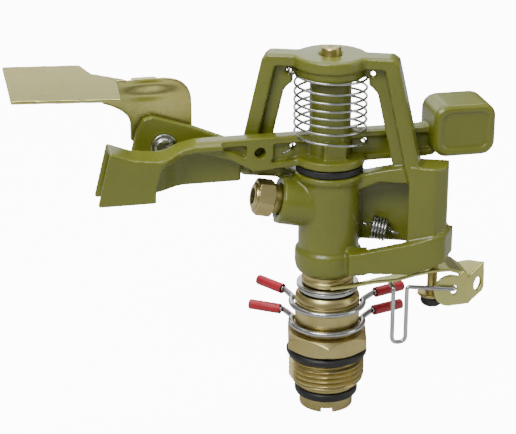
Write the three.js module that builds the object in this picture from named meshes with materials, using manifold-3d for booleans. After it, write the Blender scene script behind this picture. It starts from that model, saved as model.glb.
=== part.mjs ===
// Part-circle impact sprinkler with a 3/4 inch male inlet: brass bearing assembly, die-cast rotating body
// with its bridge, die-cast drive arm with counterweight, reversing trip mechanism and a sheet metal flap.
// Millimetres, +Z up along the rotation axis, z = 0 at the end of the inlet spigot. The jet leaves to -X.
import * as THREE from "three";
import { mergeVertices } from "three/addons/utils/BufferGeometryUtils.js";
import Module from "manifold-3d";

const wasm = await Module();
wasm.setup();

const rad = THREE.MathUtils.degToRad;

// ---------------------------------------------------------------- driving dimensions
const GAP = 0.3; // space left between faces that touch on the real object
const RUNNING = 0.1; // radial clearance of a shaft in its hole
const ROUND = 40; // sides of a turned piece
const WIRE_SIDES = 8;

// inlet nipple
const THREAD_R = 13.22;
const THREAD_PITCH = 1.814;
const THREAD_TURNS = 5;
const THREAD_DEPTH = 1.16;
const SEAL_LAND = 3.6;
const HEX_ACROSS_FLATS = 27;
const HEX_HEIGHT = 6.3;
const HEX_TURN = rad(-102); // direction of one corner
const BAND_R = 11.2;
const BAND_HEIGHT = 14.4;
const CAVITY_R = 9.2;
const CAVITY_BELOW_HEX_TOP = 1.5;
const HEX_SEAL_SECTION = 3;
const HEX_SEAL_R = 12.66; // centre of the section

// rotating bearing tube and what rides on it
const TUBE_R = 6.5;
const TUBE_BORE_R = 5;
const TUBE_FOOT_R = 9.4;
const TUBE_FOOT_HEIGHT = 4.2;
const TUBE_SLOT_WIDTH = 3.8;
const TUBE_SLOT_DEPTH = 1.6;
const TUBE_IN_BODY = 9.5;
const FOOT_SEAL_R = 11.1;
const FOOT_SEAL_HEIGHT = 3.1;
const SLIP_WASHER_R = 10.4;
const SLIP_WASHER_HEIGHT = 1.2;
const SPRING_SEAT_WASHER = 0.9;
const THRUST_WASHER = 0.6;
const THRUST_WASHER_R = 10.8;
const THRUST_RING_R = 9;
const THRUST_RING_HEIGHT = 2.7;
const WASHER_GAP = 0.2;
const BEARING_SPRING_WIRE = 1.3;
const BEARING_SPRING_TURNS = 4.5;

// friction collars
const COLLAR_WIRE = 2;
const LOWER_COLLAR_ABOVE_HEX = 2.7;
const COLLAR_SPACING = 7.3;
const GRIP_R = 1.8;
const GRIP_WALL = 0.5;
const GRIP_LENGTH = 12;
const TAIL_START_R = 16.2;
const TAIL_LENGTH = 14.2;
// where each tail leaves the ring, and the way it points
const UPPER_RIGHT_TAIL = { at: rad(9), along: rad(19.8) };
const UPPER_LEFT_TAIL = { at: rad(136), along: rad(123.6) };
const LOWER_RIGHT_TAIL = { at: rad(13), along: rad(17.2) };
const LOWER_LEFT_TAIL = { at: rad(137.5), along: rad(146.5) };

// body casting
const BODY_COLLAR_R = 11.5;
const BODY_COLLAR_HEIGHT = 9;
const BARREL_R = 10.4;
const BARREL_HEIGHT = 27.5;
const WATERWAY_R = 5.6;
const BRIDGE_TURN = rad(-21);
const BRIDGE_TOP_HALF = 22.2;
const BRIDGE_FOOT_HALF = 30.5;
const BRIDGE_BAR = 3.8;
const RIB_WIDTH = 5;
const RIB_DEPTH = 9;
const WEB_WIDTH = 4.5;
const WEB_THICKNESS = 2.2;
const WEB_TOP_BAND = 6.2;
const TOP_DISC_R = 12.3;
const TOP_DISC_HEIGHT = 3.9;
const TOP_SKIRT_R = 11.2;
const TOP_SKIRT_HEIGHT = 3.6;
const HOOK_HOLE_R = 1;
const FOOT_BAR_DEPTH = 6.4;
const BLOCK_LENGTH = 12.7;
const BLOCK_INSET = 3.3; // from the end of the bridge foot
const BLOCK_FRONT = -5.2;
const BLOCK_BACK = 6;
const BLOCK_BASE_BACK = 9.8;
const BLOCK_BASE_HEIGHT = 10;
const BACK_PLATE = [5.7, 7.8]; // front and back of the plate behind the trip spring
const BLOCK_CHAMFER = 3.8;
const STRAP_FRONT_Y = -14;
const STRAP_THICKNESS = 3.6;
const STRAP_LEFT_X = 3.8;
const STRAP_RUN_FORWARD = 5.6; // from its left end to its corner
const STRAP_SIDE_LEAN = 5; // of its right side, from its corner to its end
const STRAP_RIGHT_X = 41;
const STRAP_LOW_HEIGHT = 6.5;
const STRAP_HIGH_HEIGHT = 11.5;

// nozzle
const JET_RISE = rad(12);
const NOZZLE_BOSS_R = 8.2;
const NOZZLE_BOSS_REACH = 17.6;
const NOZZLE_BELOW_TOP = 9.4; // below the barrel top, at the boss face
const NOZZLE_ACROSS_FLATS = 11.2;
const NOZZLE_HEX_LENGTH = 6;
const NOZZLE_NECK_LENGTH = 2.2;
const NOZZLE_TIP_LENGTH = 0.8;
const NOZZLE_TIP_R = 4.6;
const NOZZLE_BORE_R = 2.8;
const NOZZLE_STEM_R = 5;
const NOZZLE_STEM_LENGTH = 7;

// fulcrum pin, washer and drive arm
const PIN_R = 3.3;
const PIN_STANDS_ABOVE = 2.4;
const PIN_SOCKET = 3.4;
const PIVOT_WASHER = 2.3;
const PIVOT_WASHER_R = 11.4;
const BUSH_WALL = 1.1;
const HUB_R = 7;
const HUB_LENGTH = 29.2;
const HUB_FLANGE_R = 12;
const HUB_FLANGE_HEIGHT = 2.9;
const BEAM_HEIGHT = 10.9;
const BEAM_WIDTH = 6;
const FLANGE_THICKNESS = 2.4;
const BEAM_WEB = 2;
const BEAM_FRONT_X = -46;
const BEAM_BOSS_X = -24.3;
const BEAM_BOSS_R = 4.8;
const BEAM_BOSS_HOLE_R = 1.85;
const WEIGHT_X = 33.8;
const WEIGHT_LENGTH = 21.4;
const WEIGHT_FRONT_Y = -9;
const WEIGHT_DEPTH = 17;
const WEIGHT_HEIGHT = 18;
const WEIGHT_ABOVE_ARM_BASE = 1.4;
const WEIGHT_CORNER_R = 4.6;

// spoon at the front end of the arm: a back wall, a shorter front vane and the roof that joins them
const SPOON_TIP_X = -75.4;
const SPOON_TIP_LEAN = 4.5;
const SPOON_BACK_START_X = -30;
const SPOON_ROOF_START_X = -37.5;
const SPOON_FRONT_Y = -6; // before the bend
const SPOON_BACK_Y = 3.5;
const SPOON_TIP_FRONT_Y = -14; // after the bend
const SPOON_TIP_BACK_Y = -2;
const SPOON_BEND_START_X = -49;
const SPOON_BEND_END_X = -60;
const SPOON_WALL = 1.9;
const SPOON_ROOF = 2.2;
const SPOON_LOW = -5.6; // lower edge, from the arm's base
const SPOON_ROOF_TOP = 8.6;
const SPOON_TIP_TOP = 12.6;

// arm return spring
const ARM_SPRING_WIRE = 0.8;
const ARM_SPRING_R = 12;
const ARM_SPRING_TURNS = 7;

// deflector flap, its lug on the body and its screw
const LUG_FRONT_Y = 6.5;
const LUG_THICKNESS = 3.5;
const FLAP_PIVOT_X = -55.2;
const FLAP_PIVOT_ABOVE_BARREL = 10;
const FLAP_SHEET = 1.2;
const FLAP_WEB_WIDTH = 20.8;
const FLAP_WEB_TOP = 22.2; // above the pivot
const PADDLE_LENGTH = 35;
const PADDLE_RIGHT_X = -70.2;
const PADDLE_FRONT_Y = -5.5;
const PADDLE_BACK_Y = 25;
const PADDLE_RISE_LEFT = 0.034;
const PADDLE_RISE_BACK = 0.1;
const FLAP_SCREW_R = 2;
const FLAP_SCREW_HEAD_R = 4.4;

// trip mechanism
const LEVER_SHEET = 1.2;
const LEVER_FRONT_Y = -12.4;
const LEVER_BACK_Y = 3;
const LEVER_DROP = 1.7; // lever face under the body collar
const EAR_X = 40;
const EAR_R = 5.8;
const EAR_DROP = 7.6;
const EAR_SLOT_DROP = 1.2;
const SIDE_TURN = 38; // of the lever's slanting side, in degrees
const SIDE_HOLE_R = 2.4;
const TRIP_POST_X = 35.5;
const TRIP_POST_Y = -7;
const TRIP_POST_R = 1.75;
const TRIP_POST_BELOW_STRAP = 13;
const TRIP_POST_IN_BODY = 7;
const TRIP_FLANGE_R = 5.1;
const TRIP_FLANGE_HEIGHT = 1.2;
const BUMPER_R = 3.9;
const BUMPER_HEIGHT = 3.4;
const TRIP_WIRE = 1.5;
const TRIP_WIRE_Y = -14.4;
const TRIP_WIRE_LEFT_X = 19.4;
const TRIP_WIRE_SPREAD = 4.8;
const TRIP_WIRE_DROP = 20.5;
const OVER_CENTRE_WIRE = 1;
const OVER_CENTRE_R = 3.6;
const OVER_CENTRE_TURNS = 4.5;

// ---------------------------------------------------------------- heights worked out from the stack
const footSealZ = TUBE_FOOT_HEIGHT + WASHER_GAP;
const slipWasherZ = footSealZ + FOOT_SEAL_HEIGHT + WASHER_GAP;
const nippleZ = slipWasherZ + SLIP_WASHER_HEIGHT + WASHER_GAP;
const threadStartZ = nippleZ + 0.3;
const threadEndZ = threadStartZ + THREAD_TURNS * THREAD_PITCH + 0.4;
const hexZ = threadEndZ + SEAL_LAND;
const hexTopZ = hexZ + HEX_HEIGHT;
const bandTopZ = hexTopZ + BAND_HEIGHT;
const springSeatZ = bandTopZ + 0.7;
const thrustWasherZ = springSeatZ + SPRING_SEAT_WASHER + 0.15;
const thrustRingZ = thrustWasherZ + 2 * (THRUST_WASHER + WASHER_GAP) + WASHER_GAP;
const collarZ = thrustRingZ + THRUST_RING_HEIGHT + GAP + 1;
const barrelZ = collarZ + BODY_COLLAR_HEIGHT;
const barrelTopZ = barrelZ + BARREL_HEIGHT;
const armZ = barrelTopZ + PIVOT_WASHER + 2 * GAP;
const armTopZ = armZ + BEAM_HEIGHT;
const hubTopZ = armZ + HUB_LENGTH;
const skirtZ = hubTopZ + 0.7;
const discZ = skirtZ + TOP_SKIRT_HEIGHT;
const discTopZ = discZ + TOP_DISC_HEIGHT;
const pinTopZ = discTopZ + PIN_STANDS_ABOVE;
const footZ = armZ + 0.7; // top of the bridge feet and of the trip block
const lowerCollarZ = hexTopZ + LOWER_COLLAR_ABOVE_HEX;
const upperCollarZ = lowerCollarZ + COLLAR_SPACING;
const collarWireR = BAND_R + GAP + COLLAR_WIRE / 2;
const strapZ = collarZ + 3.4;
const nozzleFaceZ = barrelTopZ - NOZZLE_BELOW_TOP;
const flapPivotZ = barrelTopZ + FLAP_PIVOT_ABOVE_BARREL;
const flapY = LUG_FRONT_Y + LUG_THICKNESS + GAP;
const leverTopZ = collarZ - LEVER_DROP + LEVER_SHEET;
const bushR = PIN_R + RUNNING + BUSH_WALL;
const earHoleX = EAR_X + 1.4;
const earHoleZ = leverTopZ - EAR_DROP + 2.8;
const tripWireTopZ = leverTopZ - LEVER_SHEET - GAP - TRIP_WIRE / 2;
const blockU = BRIDGE_FOOT_HALF - BLOCK_INSET;

// ---------------------------------------------------------------- geometry helpers
function toSolid(geometry) {
  const plain = new THREE.BufferGeometry();
  plain.setAttribute("position", geometry.getAttribute("position").clone());
  if (geometry.index) plain.setIndex(geometry.index.clone());
  const merged = mergeVertices(plain, 1e-4);
  const source = merged.index.array;
  const triangles = [];
  for (let i = 0; i < source.length; i += 3) {
    const [a, b, c] = [source[i], source[i + 1], source[i + 2]];
    if (a !== b && b !== c && c !== a) triangles.push(a, b, c);
  }
  return new wasm.Manifold(
    new wasm.Mesh({
      numProp: 3,
      vertProperties: new Float32Array(merged.attributes.position.array),
      triVerts: new Uint32Array(triangles),
    }),
  );
}

// Adds a list of solids together.
const join = (...solids) => solids.reduce((a, b) => a.add(b));
// Takes a list of solids away from the first one.
const cut = (first, ...tools) => tools.reduce((a, b) => a.subtract(b), first);

// A turned solid about Z from [radius, z] points, listed upwards on the outside.
function turned(points, sides = ROUND) {
  const profile = points.map(([r, z]) => new THREE.Vector2(r, z));
  return toSolid(new THREE.LatheGeometry(profile, sides).rotateX(Math.PI / 2));
}

// A cylinder about Z from z0 to z1.
const post = (r, z0, z1, sides = ROUND) => turned([[0, z0], [r, z0], [r, z1], [0, z1]], sides);

// A tube about Z from z0 to z1.
const ring = (rOut, rIn, z0, z1, sides = ROUND) =>
  turned([[rIn, z0], [rOut, z0], [rOut, z1], [rIn, z1], [rIn, z0]], sides);

function placed(solid, x = 0, y = 0, z = 0) {
  return solid.translate([x, y, z]);
}

// A torus about Z.
function torus(centreR, sectionR, z, sides = 10) {
  const geometry = new THREE.TorusGeometry(centreR, sectionR, sides, ROUND);
  return placed(toSolid(geometry), 0, 0, z);
}

function outline(points) {
  return new THREE.Shape(points.map(([x, y]) => new THREE.Vector2(x, y)));
}

// A plan outline in X and Y carried up from z0 to z1.
function slab(points, z0, z1) {
  const shape = points instanceof THREE.Shape ? points : outline(points);
  const geometry = new THREE.ExtrudeGeometry(shape, {
    depth: z1 - z0,
    bevelEnabled: false,
    curveSegments: 8,
  });
  return placed(toSolid(geometry), 0, 0, z0);
}

// A side outline in X and Z carried from y0 to y1.
function plate(points, y0, y1) {
  const shape = points instanceof THREE.Shape ? points : outline(points);
  const geometry = new THREE.ExtrudeGeometry(shape, {
    depth: y1 - y0,
    bevelEnabled: false,
    curveSegments: 8,
  }).rotateX(Math.PI / 2);
  return placed(toSolid(geometry), 0, y1, 0);
}

const box = (x0, x1, y0, y1, z0, z1) => slab([[x0, y0], [x1, y0], [x1, y1], [x0, y1]], z0, z1);

// A cylinder along Y centred on x, z.
function crossPin(r, x, z, y0, y1, sides = 24) {
  const geometry = new THREE.CylinderGeometry(r, r, y1 - y0, sides);
  return placed(toSolid(geometry), x, (y0 + y1) / 2, z);
}

// A point at a radius, an angle and a height.
const around = (r, a, z) => new THREE.Vector3(r * Math.cos(a), r * Math.sin(a), z);

// Turns a solid from the bridge's own frame, where the bridge lies in the X-Z plane.
const onBridge = (solid) => solid.rotate([0, 0, THREE.MathUtils.radToDeg(BRIDGE_TURN)]);

// Turns a solid that was made along -Z at the origin to lie along the jet, at the face of the nozzle boss.
function onJet(solid) {
  const tilt = 90 + THREE.MathUtils.radToDeg(JET_RISE);
  return solid.rotate([0, tilt, 0]).translate([-NOZZLE_BOSS_REACH, 0, nozzleFaceZ]);
}

// A round wire along a smooth curve or a chain of points.
function wire(curve, diameter, steps, sides = WIRE_SIDES) {
  const section = new THREE.Shape();
  for (let i = 0; i < sides; i++) {
    const a = (2 * Math.PI * i) / sides;
    const point = [(diameter / 2) * Math.cos(a), (diameter / 2) * Math.sin(a)];
    if (i) section.lineTo(...point);
    else section.moveTo(...point);
  }
  section.closePath();
  return toSolid(
    new THREE.ExtrudeGeometry(section, { steps, extrudePath: curve, curveSegments: 1 }),
  );
}

const smooth = (points) => new THREE.CatmullRomCurve3(points, false, "centripetal");

// A path of straight runs joined by quadratic bends; bends[i] is how far from its corner each one starts.
function bentPath(corners, bends) {
  const path = new THREE.CurvePath();
  let from = corners[0];
  for (let i = 1; i < corners.length - 1; i++) {
    const into = corners[i].clone().sub(corners[i - 1]).normalize();
    const out = corners[i + 1].clone().sub(corners[i]).normalize();
    const start = corners[i].clone().addScaledVector(into, -bends[i - 1]);
    const end = corners[i].clone().addScaledVector(out, bends[i - 1]);
    path.add(new THREE.LineCurve3(from, start));
    path.add(new THREE.QuadraticBezierCurve3(start, corners[i], end));
    from = end;
  }
  path.add(new THREE.LineCurve3(from, corners[corners.length - 1]));
  return path;
}

// A hexagon with a corner pointing along the given direction.
function hexagon(acrossFlats, turn = 0) {
  const r = acrossFlats / Math.sqrt(3);
  return Array.from({ length: 6 }, (_, i) => {
    const a = turn + (Math.PI / 3) * i;
    return [r * Math.cos(a), r * Math.sin(a)];
  });
}

function roundedOutline(x0, x1, y0, y1, r) {
  const shape = new THREE.Shape();
  shape.moveTo(x0 + r, y0).lineTo(x1 - r, y0);
  shape.absarc(x1 - r, y0 + r, r, -Math.PI / 2, 0);
  shape.lineTo(x1, y1 - r).absarc(x1 - r, y1 - r, r, 0, Math.PI / 2);
  shape.lineTo(x0 + r, y1).absarc(x0 + r, y1 - r, r, Math.PI / 2, Math.PI);
  shape.lineTo(x0, y0 + r).absarc(x0 + r, y0 + r, r, Math.PI, 1.5 * Math.PI);
  return shape;
}

// ---------------------------------------------------------------- inlet and bearing
function inletNipple() {
  const root = THREAD_R - THREAD_DEPTH;
  const profile = [
    [TUBE_R + RUNNING, nippleZ],
    [root - 0.6, nippleZ],
    [root, threadStartZ],
  ];
  for (let i = 0; i < THREAD_TURNS; i++) {
    const z = threadStartZ + (i + 0.5) * THREAD_PITCH;
    profile.push([root, z - 0.42 * THREAD_PITCH], [THREAD_R, z - 0.08 * THREAD_PITCH]);
    profile.push([THREAD_R, z + 0.08 * THREAD_PITCH], [root, z + 0.42 * THREAD_PITCH]);
  }
  const hexSealInner = HEX_SEAL_R - HEX_SEAL_SECTION / 2 - GAP;
  const cavityFloor = hexTopZ - CAVITY_BELOW_HEX_TOP;
  profile.push([root, threadEndZ], [hexSealInner, threadEndZ], [hexSealInner, hexZ + 0.1]);
  profile.push([BAND_R, hexZ + 0.1], [BAND_R, bandTopZ - 3.4], [BAND_R - 0.5, bandTopZ - 1.4]);
  profile.push([BAND_R - 0.9, bandTopZ], [CAVITY_R, bandTopZ]);
  profile.push([CAVITY_R, cavityFloor], [TUBE_R + RUNNING, cavityFloor]);
  profile.push([TUBE_R + RUNNING, nippleZ]);
  const stem = turned(profile);
  const flatR = HEX_ACROSS_FLATS / 2;
  const cornerR = HEX_ACROSS_FLATS / Math.sqrt(3) + 1;
  const rise = (cornerR - flatR) * Math.tan(rad(30));
  const chamfer = turned([
    [0, hexZ],
    [flatR, hexZ],
    [cornerR, hexZ + rise],
    [cornerR, hexTopZ - rise],
    [flatR, hexTopZ],
    [0, hexTopZ],
  ]);
  const hex = cut(
    slab(hexagon(HEX_ACROSS_FLATS, HEX_TURN), hexZ, hexTopZ).intersect(chamfer),
    post(CAVITY_R + 1, hexZ - 1, hexTopZ + 1),
  );
  return join(stem, hex);
}

const hexSeal = () => torus(HEX_SEAL_R, HEX_SEAL_SECTION / 2, (threadEndZ + hexZ) / 2);

// The foot of the tube holds the seal and the slip washer up against the nipple.
function bearingTube() {
  const tube = turned([
    [TUBE_BORE_R, 0],
    [TUBE_FOOT_R - 0.5, 0],
    [TUBE_FOOT_R, 0.5],
    [TUBE_FOOT_R, TUBE_FOOT_HEIGHT],
    [TUBE_R, TUBE_FOOT_HEIGHT],
    [TUBE_R, collarZ + TUBE_IN_BODY],
    [TUBE_BORE_R, collarZ + TUBE_IN_BODY],
    [TUBE_BORE_R, 0],
  ]);
  const half = TUBE_SLOT_WIDTH / 2;
  const slot = box(-20, 20, -half, half, -1, TUBE_SLOT_DEPTH);
  return cut(tube, slot.rotate([0, 0, THREE.MathUtils.radToDeg(HEX_TURN)]));
}

function footSeal() {
  const bulge = 1;
  return turned([
    [TUBE_R + GAP, footSealZ],
    [FOOT_SEAL_R - bulge, footSealZ],
    [FOOT_SEAL_R - 0.3 * bulge, footSealZ + 0.3 * bulge],
    [FOOT_SEAL_R, footSealZ + bulge],
    [FOOT_SEAL_R, footSealZ + FOOT_SEAL_HEIGHT - bulge],
    [FOOT_SEAL_R - 0.3 * bulge, footSealZ + FOOT_SEAL_HEIGHT - 0.3 * bulge],
    [FOOT_SEAL_R - bulge, footSealZ + FOOT_SEAL_HEIGHT],
    [TUBE_R + GAP, footSealZ + FOOT_SEAL_HEIGHT],
    [TUBE_R + GAP, footSealZ],
  ]);
}

const slipWasher = () =>
  ring(SLIP_WASHER_R, TUBE_R + GAP, slipWasherZ, slipWasherZ + SLIP_WASHER_HEIGHT);

const springSeat = () =>
  ring(BAND_R - 1.4, TUBE_R + GAP, springSeatZ, springSeatZ + SPRING_SEAT_WASHER);

function thrustWasher(index) {
  const z = thrustWasherZ + index * (THRUST_WASHER + WASHER_GAP);
  return ring(THRUST_WASHER_R, TUBE_R + GAP, z, z + THRUST_WASHER);
}

const thrustRing = () =>
  ring(THRUST_RING_R, TUBE_R + GAP, thrustRingZ, collarZ - GAP);

function bearingSpring() {
  const low = hexTopZ - CAVITY_BELOW_HEX_TOP + GAP + BEARING_SPRING_WIRE / 2;
  const high = springSeatZ - GAP - BEARING_SPRING_WIRE / 2;
  const r = (TUBE_R + CAVITY_R) / 2 + 0.05;
  const points = [];
  const count = Math.round(BEARING_SPRING_TURNS * 12);
  for (let i = 0; i <= count; i++) {
    const t = i / count;
    points.push(around(r, 2 * Math.PI * BEARING_SPRING_TURNS * t, low + (high - low) * t));
  }
  return wire(smooth(points), BEARING_SPRING_WIRE, count, 6);
}

// ---------------------------------------------------------------- friction collars
// A point of a tail, so many millimetres out from where it leaves the ring.
function tailPoint(tail, distance, z) {
  const start = around(TAIL_START_R, tail.at, z);
  const heading = new THREE.Vector3(Math.cos(tail.along), Math.sin(tail.along), 0);
  return start.addScaledVector(heading, distance);
}

// A wire that runs round the front of the nipple from its right tail to its left tail.
function collarWire(right, left, z) {
  const turnOut = rad(16);
  const from = right.at - turnOut;
  const to = left.at - 2 * Math.PI + turnOut;
  const along = [TAIL_LENGTH - 1.5, 8, 5, 2.4, 1.2];
  const points = along.map((distance) => tailPoint(right, distance, z));
  const steps = 22;
  for (let i = 0; i <= steps; i++) {
    points.push(around(collarWireR, from + ((to - from) * i) / steps, z));
  }
  points.push(...along.map((distance) => tailPoint(left, distance, z)).reverse());
  return wire(smooth(points), COLLAR_WIRE, 60);
}

// A vinyl tube over one tail: closed at its outer end.
function grip(tail, z) {
  const bore = GRIP_R - GRIP_WALL + 0.05;
  const tube = turned(
    [
      [bore, 0],
      [GRIP_R, 0],
      [GRIP_R, GRIP_LENGTH - 0.5],
      [GRIP_R - 0.5, GRIP_LENGTH],
      [0, GRIP_LENGTH],
      [0, GRIP_LENGTH - 1],
      [bore, GRIP_LENGTH - 1],
      [bore, 0],
    ],
    16,
  );
  const start = tailPoint(tail, TAIL_LENGTH - GRIP_LENGTH, z);
  return tube
    .rotate([0, 90, 0])
    .rotate([0, 0, THREE.MathUtils.radToDeg(tail.along)])
    .translate([start.x, start.y, start.z]);
}

// ---------------------------------------------------------------- body casting
// Half the width of the bridge, outside, at a height.
function bridgeHalf(z) {
  const t = (discTopZ - z) / (discTopZ - footZ);
  return BRIDGE_TOP_HALF + (BRIDGE_FOOT_HALF - BRIDGE_TOP_HALF) * t;
}

function bridge() {
  const low = footZ - 5;
  const barZ = discTopZ - BRIDGE_BAR;
  const bothSides = (points) => [...points, ...points.map(([x, z]) => [-x, z]).reverse()];
  const corner = 1.6;
  const outside = bothSides([
    [BRIDGE_FOOT_HALF, low],
    [BRIDGE_FOOT_HALF, footZ],
    [bridgeHalf(discTopZ - corner), discTopZ - corner],
    [BRIDGE_TOP_HALF - corner, discTopZ],
  ]);
  const ribInside = bothSides([
    [bridgeHalf(low - 1) - RIB_WIDTH, low - 1],
    [bridgeHalf(barZ) - RIB_WIDTH, barZ],
  ]);
  const inset = RIB_WIDTH + WEB_WIDTH;
  const webTopZ = barZ - WEB_TOP_BAND;
  const fillet = 3;
  const webInside = bothSides([
    [bridgeHalf(low - 1) - inset, low - 1],
    [bridgeHalf(webTopZ - fillet) - inset, webTopZ - fillet],
    [bridgeHalf(webTopZ) - inset - 0.35 * fillet, webTopZ - 0.3 * fillet],
    [bridgeHalf(webTopZ) - inset - fillet, webTopZ],
  ]);
  const rib = cut(
    plate(outside, -RIB_DEPTH / 2, RIB_DEPTH / 2),
    plate(ribInside, -RIB_DEPTH, RIB_DEPTH),
  );
  const web = cut(
    plate(outside, -WEB_THICKNESS / 2, WEB_THICKNESS / 2),
    plate(webInside, -RIB_DEPTH, RIB_DEPTH),
  );
  const holeZ = barZ - 2.3;
  const holeX = ARM_SPRING_R + 2;
  const holes = [-1, 1].map((s) => crossPin(HOOK_HOLE_R, s * holeX, holeZ, -9, 9, 12));
  const springRoom = post(ARM_SPRING_R + 0.75, low - 1, skirtZ + 0.2);
  return onBridge(cut(join(rib, web), ...holes, springRoom));
}

// The two sloping bars that carry the bridge feet from the barrel.
function footBars() {
  const bar = (s) =>
    plate(
      [
        [s * 6, barrelTopZ - 8],
        [s * 6, barrelTopZ - 1.6],
        [s * 18, armZ - 1.4],
        [s * (BRIDGE_FOOT_HALF - RIB_WIDTH), footZ - 0.6],
        [s * BRIDGE_FOOT_HALF, footZ - 0.6],
        [s * BRIDGE_FOOT_HALF, footZ - 5.6],
        [s * (BRIDGE_FOOT_HALF - 2), footZ - 6.4],
        [s * 17, barrelTopZ - 2.8],
      ],
      -FOOT_BAR_DEPTH / 2,
      FOOT_BAR_DEPTH / 2,
    );
  return onBridge(join(bar(1), bar(-1)));
}

// The trip block under the right foot, the strap in front of the trip spring and the plate behind it.
function tripHousing() {
  const blockEnd = blockU + BLOCK_LENGTH;
  const blockPlan = (back) => [
    [blockU, BLOCK_FRONT],
    [blockEnd - BLOCK_CHAMFER, BLOCK_FRONT],
    [blockEnd, BLOCK_FRONT + BLOCK_CHAMFER],
    [blockEnd, back],
    [blockU, back],
  ];
  const blockZ = strapZ + 2.4;
  const block = onBridge(slab(blockPlan(BLOCK_BACK), blockZ, footZ));
  const base = onBridge(slab(blockPlan(BLOCK_BASE_BACK), blockZ, blockZ + BLOCK_BASE_HEIGHT));
  const backPlate = onBridge(
    box(4, blockU + 6, BACK_PLATE[0], BACK_PLATE[1], barrelTopZ - 27, barrelTopZ - 5),
  );
  const cornerX = STRAP_RIGHT_X - STRAP_SIDE_LEAN;
  const cornerY = STRAP_FRONT_Y - STRAP_RUN_FORWARD;
  const strapPlan = [
    [STRAP_LEFT_X, STRAP_FRONT_Y],
    [cornerX - 3, cornerY + 0.5],
    [cornerX - 0.8, cornerY + 0.6],
    [cornerX + 0.6, cornerY + 2.2],
    [STRAP_RIGHT_X, cornerY + 8],
    [STRAP_RIGHT_X - STRAP_THICKNESS, cornerY + 8],
    [cornerX - STRAP_THICKNESS, cornerY + STRAP_THICKNESS + 0.6],
    [STRAP_LEFT_X, STRAP_FRONT_Y + STRAP_THICKNESS],
  ];
  const side = [
    [STRAP_LEFT_X - 1, strapZ + 0.8],
    [STRAP_LEFT_X + 3, strapZ],
    [STRAP_LEFT_X + 20, strapZ - 0.8],
    [STRAP_RIGHT_X - 11, strapZ + 1],
    [STRAP_RIGHT_X - 5, strapZ + 3.6],
    [STRAP_RIGHT_X + 1, strapZ + 5],
    [STRAP_RIGHT_X + 1, strapZ + STRAP_HIGH_HEIGHT + 3.4],
    [STRAP_RIGHT_X - 6, strapZ + STRAP_HIGH_HEIGHT + 2.2],
    [STRAP_LEFT_X + 20, strapZ + STRAP_LOW_HEIGHT + 4],
    [STRAP_LEFT_X - 1, strapZ + STRAP_LOW_HEIGHT],
  ];
  const strap = slab(strapPlan, strapZ - 2, footZ).intersect(plate(side, -40, 40));
  // joins the left end of the strap to the collar of the body
  const root = slab(
    [
      [STRAP_LEFT_X, STRAP_FRONT_Y],
      [STRAP_LEFT_X + 6, STRAP_FRONT_Y],
      [STRAP_LEFT_X + 8, -BODY_COLLAR_R + 4],
      [STRAP_LEFT_X, -BODY_COLLAR_R + 5],
    ],
    strapZ - 1,
    strapZ + STRAP_LOW_HEIGHT + 0.6,
  );
  const postHole = placed(
    post(TRIP_POST_R + GAP, blockZ - 1, blockZ + TRIP_POST_IN_BODY, 20),
    TRIP_POST_X,
    TRIP_POST_Y,
    0,
  );
  return cut(join(block, base, backPlate, strap, root), postHole);
}

// The plate behind the jet that carries the deflector flap.
function flapLug() {
  const y0 = LUG_FRONT_Y;
  const y1 = LUG_FRONT_Y + LUG_THICKNESS;
  const z = flapPivotZ;
  const x = FLAP_PIVOT_X;
  const footX = -(BRIDGE_FOOT_HALF - RIB_WIDTH / 2) * Math.cos(BRIDGE_TURN);
  const lug = plate(
    [
      [x - 10.6, z - 2],
      [x - 7, z - 6.5],
      [x + 12, z - 7],
      [footX, footZ - 5.5],
      [footX, footZ + 4],
      [x + 17.6, z + 2.6],
      [x + 9.6, z + 6],
      [x - 3.2, z + 10.2],
      [x - 6.5, z + 9.4],
      [x - 9, z + 5],
    ],
    y0,
    y1,
  );
  return cut(lug, crossPin(FLAP_SCREW_R + RUNNING, x, z, y0 - 1, y1 + 1));
}

const nozzleBoss = () => onJet(post(NOZZLE_BOSS_R, 0, NOZZLE_BOSS_REACH - 2));

function bodyCasting() {
  const shell = turned([
    [0, collarZ],
    [BODY_COLLAR_R - 1.6, collarZ],
    [BODY_COLLAR_R - 0.4, collarZ + 1.6],
    [BODY_COLLAR_R, collarZ + 3.4],
    [BODY_COLLAR_R, barrelZ - 0.6],
    [BARREL_R, barrelZ],
    [BARREL_R, barrelTopZ - 3.4],
    [PIVOT_WASHER_R + 0.5, barrelTopZ - 1.6],
    [PIVOT_WASHER_R + 0.5, barrelTopZ],
    [0, barrelTopZ],
  ]);
  const tubeTopZ = collarZ + TUBE_IN_BODY;
  const socket = post(TUBE_R + GAP, collarZ - 1, tubeTopZ + GAP);
  const riser = post(WATERWAY_R, tubeTopZ, nozzleFaceZ + 1);
  const gallery = onJet(post(NOZZLE_STEM_R + GAP, -1, NOZZLE_BOSS_REACH - 2));
  const pinHole = post(PIN_R + RUNNING, barrelTopZ - PIN_SOCKET - GAP, discTopZ + 1);
  const top = join(
    post(TOP_DISC_R, discZ, discTopZ),
    post(TOP_SKIRT_R, skirtZ, discZ + 0.5),
  );
  return cut(
    join(shell, nozzleBoss(), bridge(), footBars(), tripHousing(), flapLug(), top),
    socket,
    riser,
    gallery,
    pinHole,
  );
}

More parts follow.
